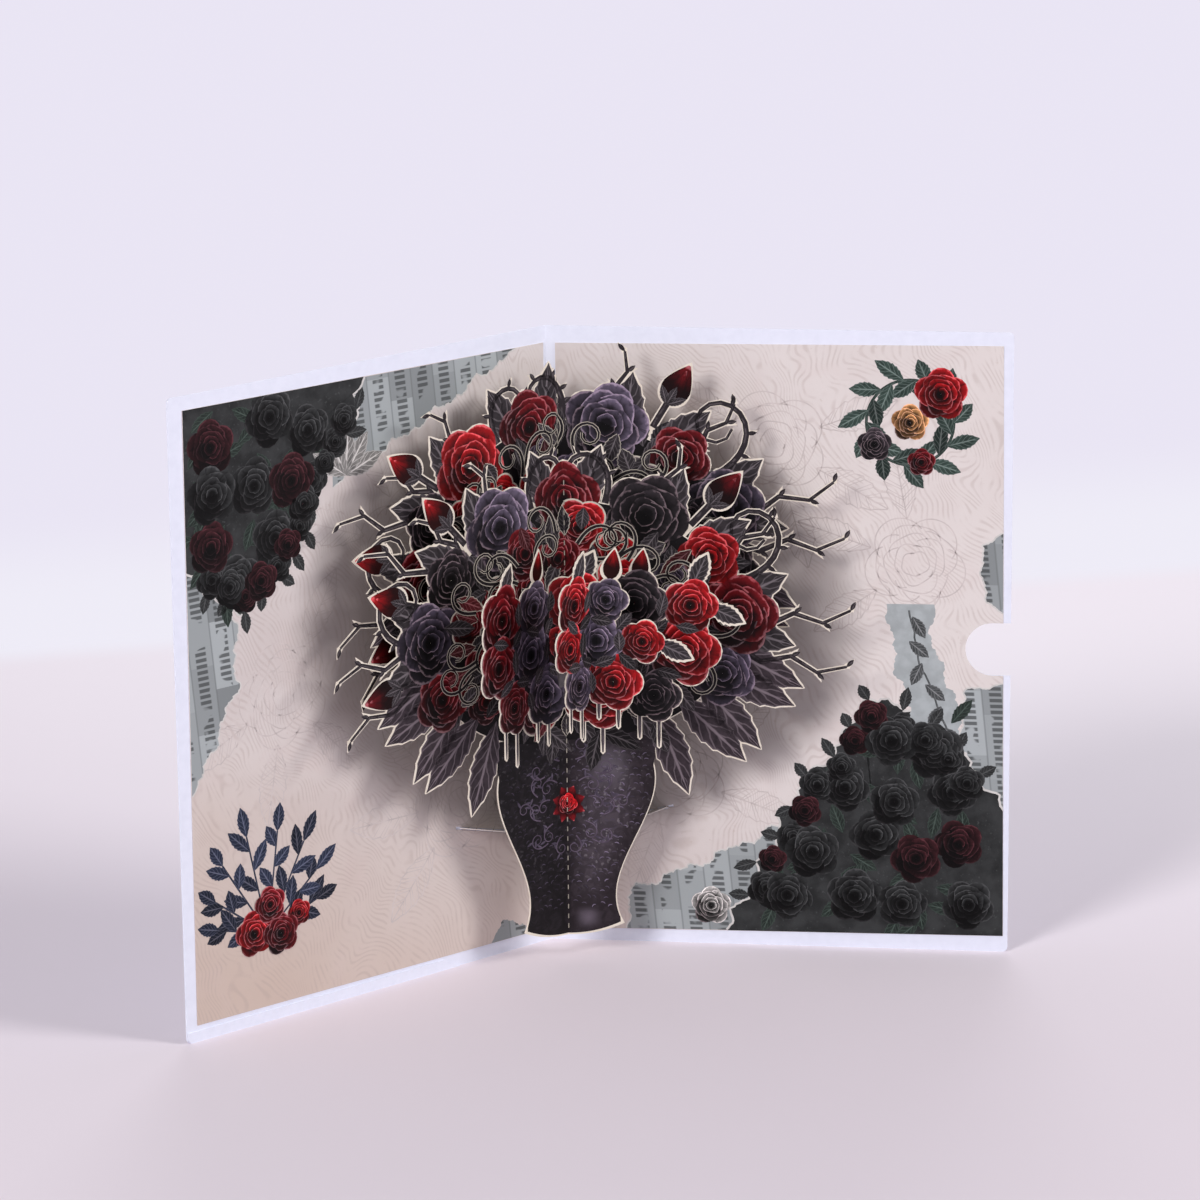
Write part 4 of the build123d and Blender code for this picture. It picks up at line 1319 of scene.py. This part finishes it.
fan = leaves(np.tile([-9.0, 66.0], (5, 1)), way, 15.0, 6.5, PALE * 0.6, BLADE_BASE + 0.002 * np.arange(5))
paste("wreath_hoop_print", RIGHT, bands([hoop], 0.45, PINE, STEM_BASE), stalk_print)
paste("wreath_leaf_print", RIGHT, wreath_leaves, leaf_print)
paste("wreath_rose_print", RIGHT, wreath_roses, petal_print)
paste("left_fan_print", LEFT, fan, leaf_print)

# %% [markdown]
# Large roses with veined leaves are drawn on the parchment in faint lines and lie under everything. The
# shapes are those of the printed flowers, but only their outlines are inked, as thin bands.

# %% Line drawings on the parchment
FAINT = np.array([0.605, 0.54, 0.525])
FAINT_HALF, VEIN_HALF, FAINT_LIFT = 0.2, 0.12, 0.002
drawings = {
    LEFT: (
        ((-34, 2), 17.0, (60, 205, 260, 315)),
        ((14, 40), 19.0, (20, 110, 160, 250)),
        ((34, -46), 18.0, (80, 135, 180, 230)),
    ),
    RIGHT: (
        ((-2, 64), 17.0, (-75, -30, 20, 150)),
        ((42, 26), 16.0, (100, 160, 215)),
        ((-34, -44), 17.0, (-20, 40, 95, 250)),
    ),
}


def drawn_flower(centre, radius, degrees):
    """A rose as a line drawing, with leaves out from its rim: thin bands along the petals' rims, along the
    leaves' toothed edges and midribs, and along veins that slant from the midribs to the edges."""
    petals = roses([centre], radius, radius, FAINT, 0.0, 20)
    way = np.radians(degrees)
    rim = np.add(centre, 0.92 * radius * towards(way))
    blade = leaves(rim, way, 1.5 * radius, 0.62 * radius, FAINT, 0.0)[0].flat
    rib = blade[:, :, 2]
    made = []
    for line in [item.flat[:, -1] for item in petals[1:]] + [blade[:, :, 0], blade[:, :, 4], rib]:
        made += bands(line, FAINT_HALF, FAINT, FAINT_LIFT)
    for row in range(1, 11):
        for edge in (0, 4):
            vein = np.stack([rib[:, row], blade[:, row + 2, edge]], 1)
            made += bands(vein, VEIN_HALF, FAINT, FAINT_LIFT)
    return made


for side, flowers in drawings.items():
    lines = [line for flower in flowers for line in drawn_flower(*flower)]
    paste(f"{sides[side]}_drawing_print", side, lines, faint_print)

# %% [markdown]
# ## Stage, light and camera
#
# A pale floor runs back into a pale distance. A wall would hide the card from behind, so there is none: the
# floor itself turns into an even pale colour some way behind the card, and the world has the same colour for
# the camera.

# %% Floor
DISTANCE = (0.82, 0.785, 0.905, 1)


def seen(any_signal):
    """1 for rays that show the surface to the camera, straight or by gloss and glass, and 0 for light."""
    rays = ("Is Camera Ray", "Is Glossy Ray", "Is Transmission Ray")
    straight_on, glossy, through = (any_signal.node("ShaderNodeLightPath", {}, {}, ray) for ray in rays)
    return (straight_on + glossy + through).ramp(0.0, 1.0)


def floor_finish():
    """A pale, cloudy floor, painted paler away from the lamps as painted light that evens out their fall-off
    and the card's shadow; beyond it the camera and reflections see an even pale colour, whitest where it
    begins."""
    material, shader, place = finish("floor", 0.85)
    cloud = place.noise(1.6, 4.0).ramp(0.3, 0.7)
    tint = cloud.blend((0.79, 0.72, 0.78, 1), (0.76, 0.69, 0.75, 1))
    # Painted light: the floor's colour grows paler back and to the right, where the lamps light it less.
    painted_light = (place.axis(1) + 0.6 * place.axis(0)).ramp(-0.1, 0.45)
    feed(shader, "Base Color", painted_light.blend(tint, (0.97, 0.91, 0.97, 1)))
    depth = place.axis(1) + 0.06 * place.axis(0)
    far = depth.ramp(0.355, 0.385) * seen(place)
    pale = depth.ramp(0.44, 0.60).blend((0.86, 0.84, 0.93, 1), DISTANCE)
    beyond = place.node("ShaderNodeEmission", {}, {"Color": pale, "Strength": 1.0})
    near = Signal(place.tree, shader.outputs[0])
    both = far.node("ShaderNodeMixShader", {}, {0: far, 1: near, 2: beyond})
    place.tree.links.new(both.socket, place.tree.nodes["Material Output"].inputs["Surface"])
    return material


width = np.linspace(-8, 8, 17)
sheet = np.stack(np.broadcast_arrays(width, width[:, None], 0.0), -1).reshape(-1, 3)
quads = grid_quads(1, 17, 17)
floor = mesh_piece("floor", sheet, quads, sheet[:, :2], np.ones((len(sheet), 3)), floor_finish())
print("floor:", len(floor.data.polygons), "faces")

# %% [markdown]
# A soft lamp stands above on each side of the camera and throws the layers' shadows onto the liners, to the
# left and to the right; a weaker one lights the card's back, and the world fills the rest. A round area lamp
# more than a metre wide gives the soft shadow edges of a room with large windows.

# %% Lamps and world
LAMPS_LOOK_AT = (0, 0, 0.1)


def posed(right, up, back, origin):
    """The matrix of an object at an origin whose own x, y and z point right, up and back."""
    turn = np.stack([right, up, back], 1)
    return Matrix([[*row, o] for row, o in zip(turn, origin)] + [[0, 0, 0, 1]])


def aim(origin, target):
    """The matrix of an object at an origin whose -z looks at a target, with its x level."""
    back = np.subtract(origin, target)
    back = back / np.linalg.norm(back)
    right = np.cross((0, 0, 1), back)
    right /= np.linalg.norm(right)
    return posed(right, np.cross(back, right), back, origin)


def lamp(name, origin, size, power, colour):
    """A round area lamp that looks at the middle of the card."""
    data = bpy.data.lights.new(name, "AREA")
    data.shape = "DISK"
    data.size = size
    data.energy = power
    data.color = colour
    made = bpy.data.objects.new(name, data)
    made.matrix_world = aim(origin, LAMPS_LOOK_AT)
    bpy.context.scene.collection.objects.link(made)


lamp("key_lamp", (2.6, -1.85, 1.8), 1.2, 70.0, (1.0, 0.985, 0.97))
lamp("second_lamp", (-2.6, -1.85, 1.8), 1.2, 74.0, (1.0, 0.985, 0.975))
lamp("back_lamp", (1.0, 2.6, 1.9), 1.6, 19.0, (0.97, 0.97, 1.0))
world = bpy.data.worlds.new("studio")
world.use_nodes = True
tree = world.node_tree
light = Signal(tree, tree.nodes["Background"].outputs[0])
light.socket.node.inputs["Color"].default_value = (0.93, 0.92, 1.0, 1)
light.socket.node.inputs["Strength"].default_value = 0.33
shown = light.node("ShaderNodeBackground", {}, {"Color": DISTANCE, "Strength": 1.0})
sky = light.node("ShaderNodeMixShader", {}, {0: seen(light), 1: light, 2: shown})
tree.links.new(sky.socket, tree.nodes["World Output"].inputs["Surface"])
bpy.context.scene.world = world
bpy.context.scene.view_settings.view_transform = "Standard"
print("lamps:", ", ".join(made.name for made in bpy.data.lights))

# %% [markdown]
# The camera repeats the photograph's: its direction, its slight roll and its distance were fitted to the
# corners of the cover.

# %% Camera
CAMERA_AT = np.array([-0.4523, -1.5419, 0.5558])
LENS, SENSOR = 159.56, 36.0
azimuth, elevation, roll = np.radians([-16.926, 15.448, -0.568])
sideways = np.array([np.cos(azimuth), np.sin(azimuth), 0.0])
backwards = np.array([np.sin(azimuth), -np.cos(azimuth), 0.0])
back = backwards * np.cos(elevation) + (0.0, 0.0, np.sin(elevation))
plumb = np.cross(back, sideways)
right = np.cos(roll) * sideways + np.sin(roll) * plumb
up = -np.sin(roll) * sideways + np.cos(roll) * plumb
camera = bpy.data.objects.new("camera", bpy.data.cameras.new("camera"))
camera.data.sensor_width = SENSOR
camera.data.lens = LENS
camera.data.clip_end = 50.0
camera.matrix_world = posed(right, up, back, CAMERA_AT)
bpy.context.scene.collection.objects.link(camera)
bpy.context.scene.camera = camera
print("camera at", CAMERA_AT)
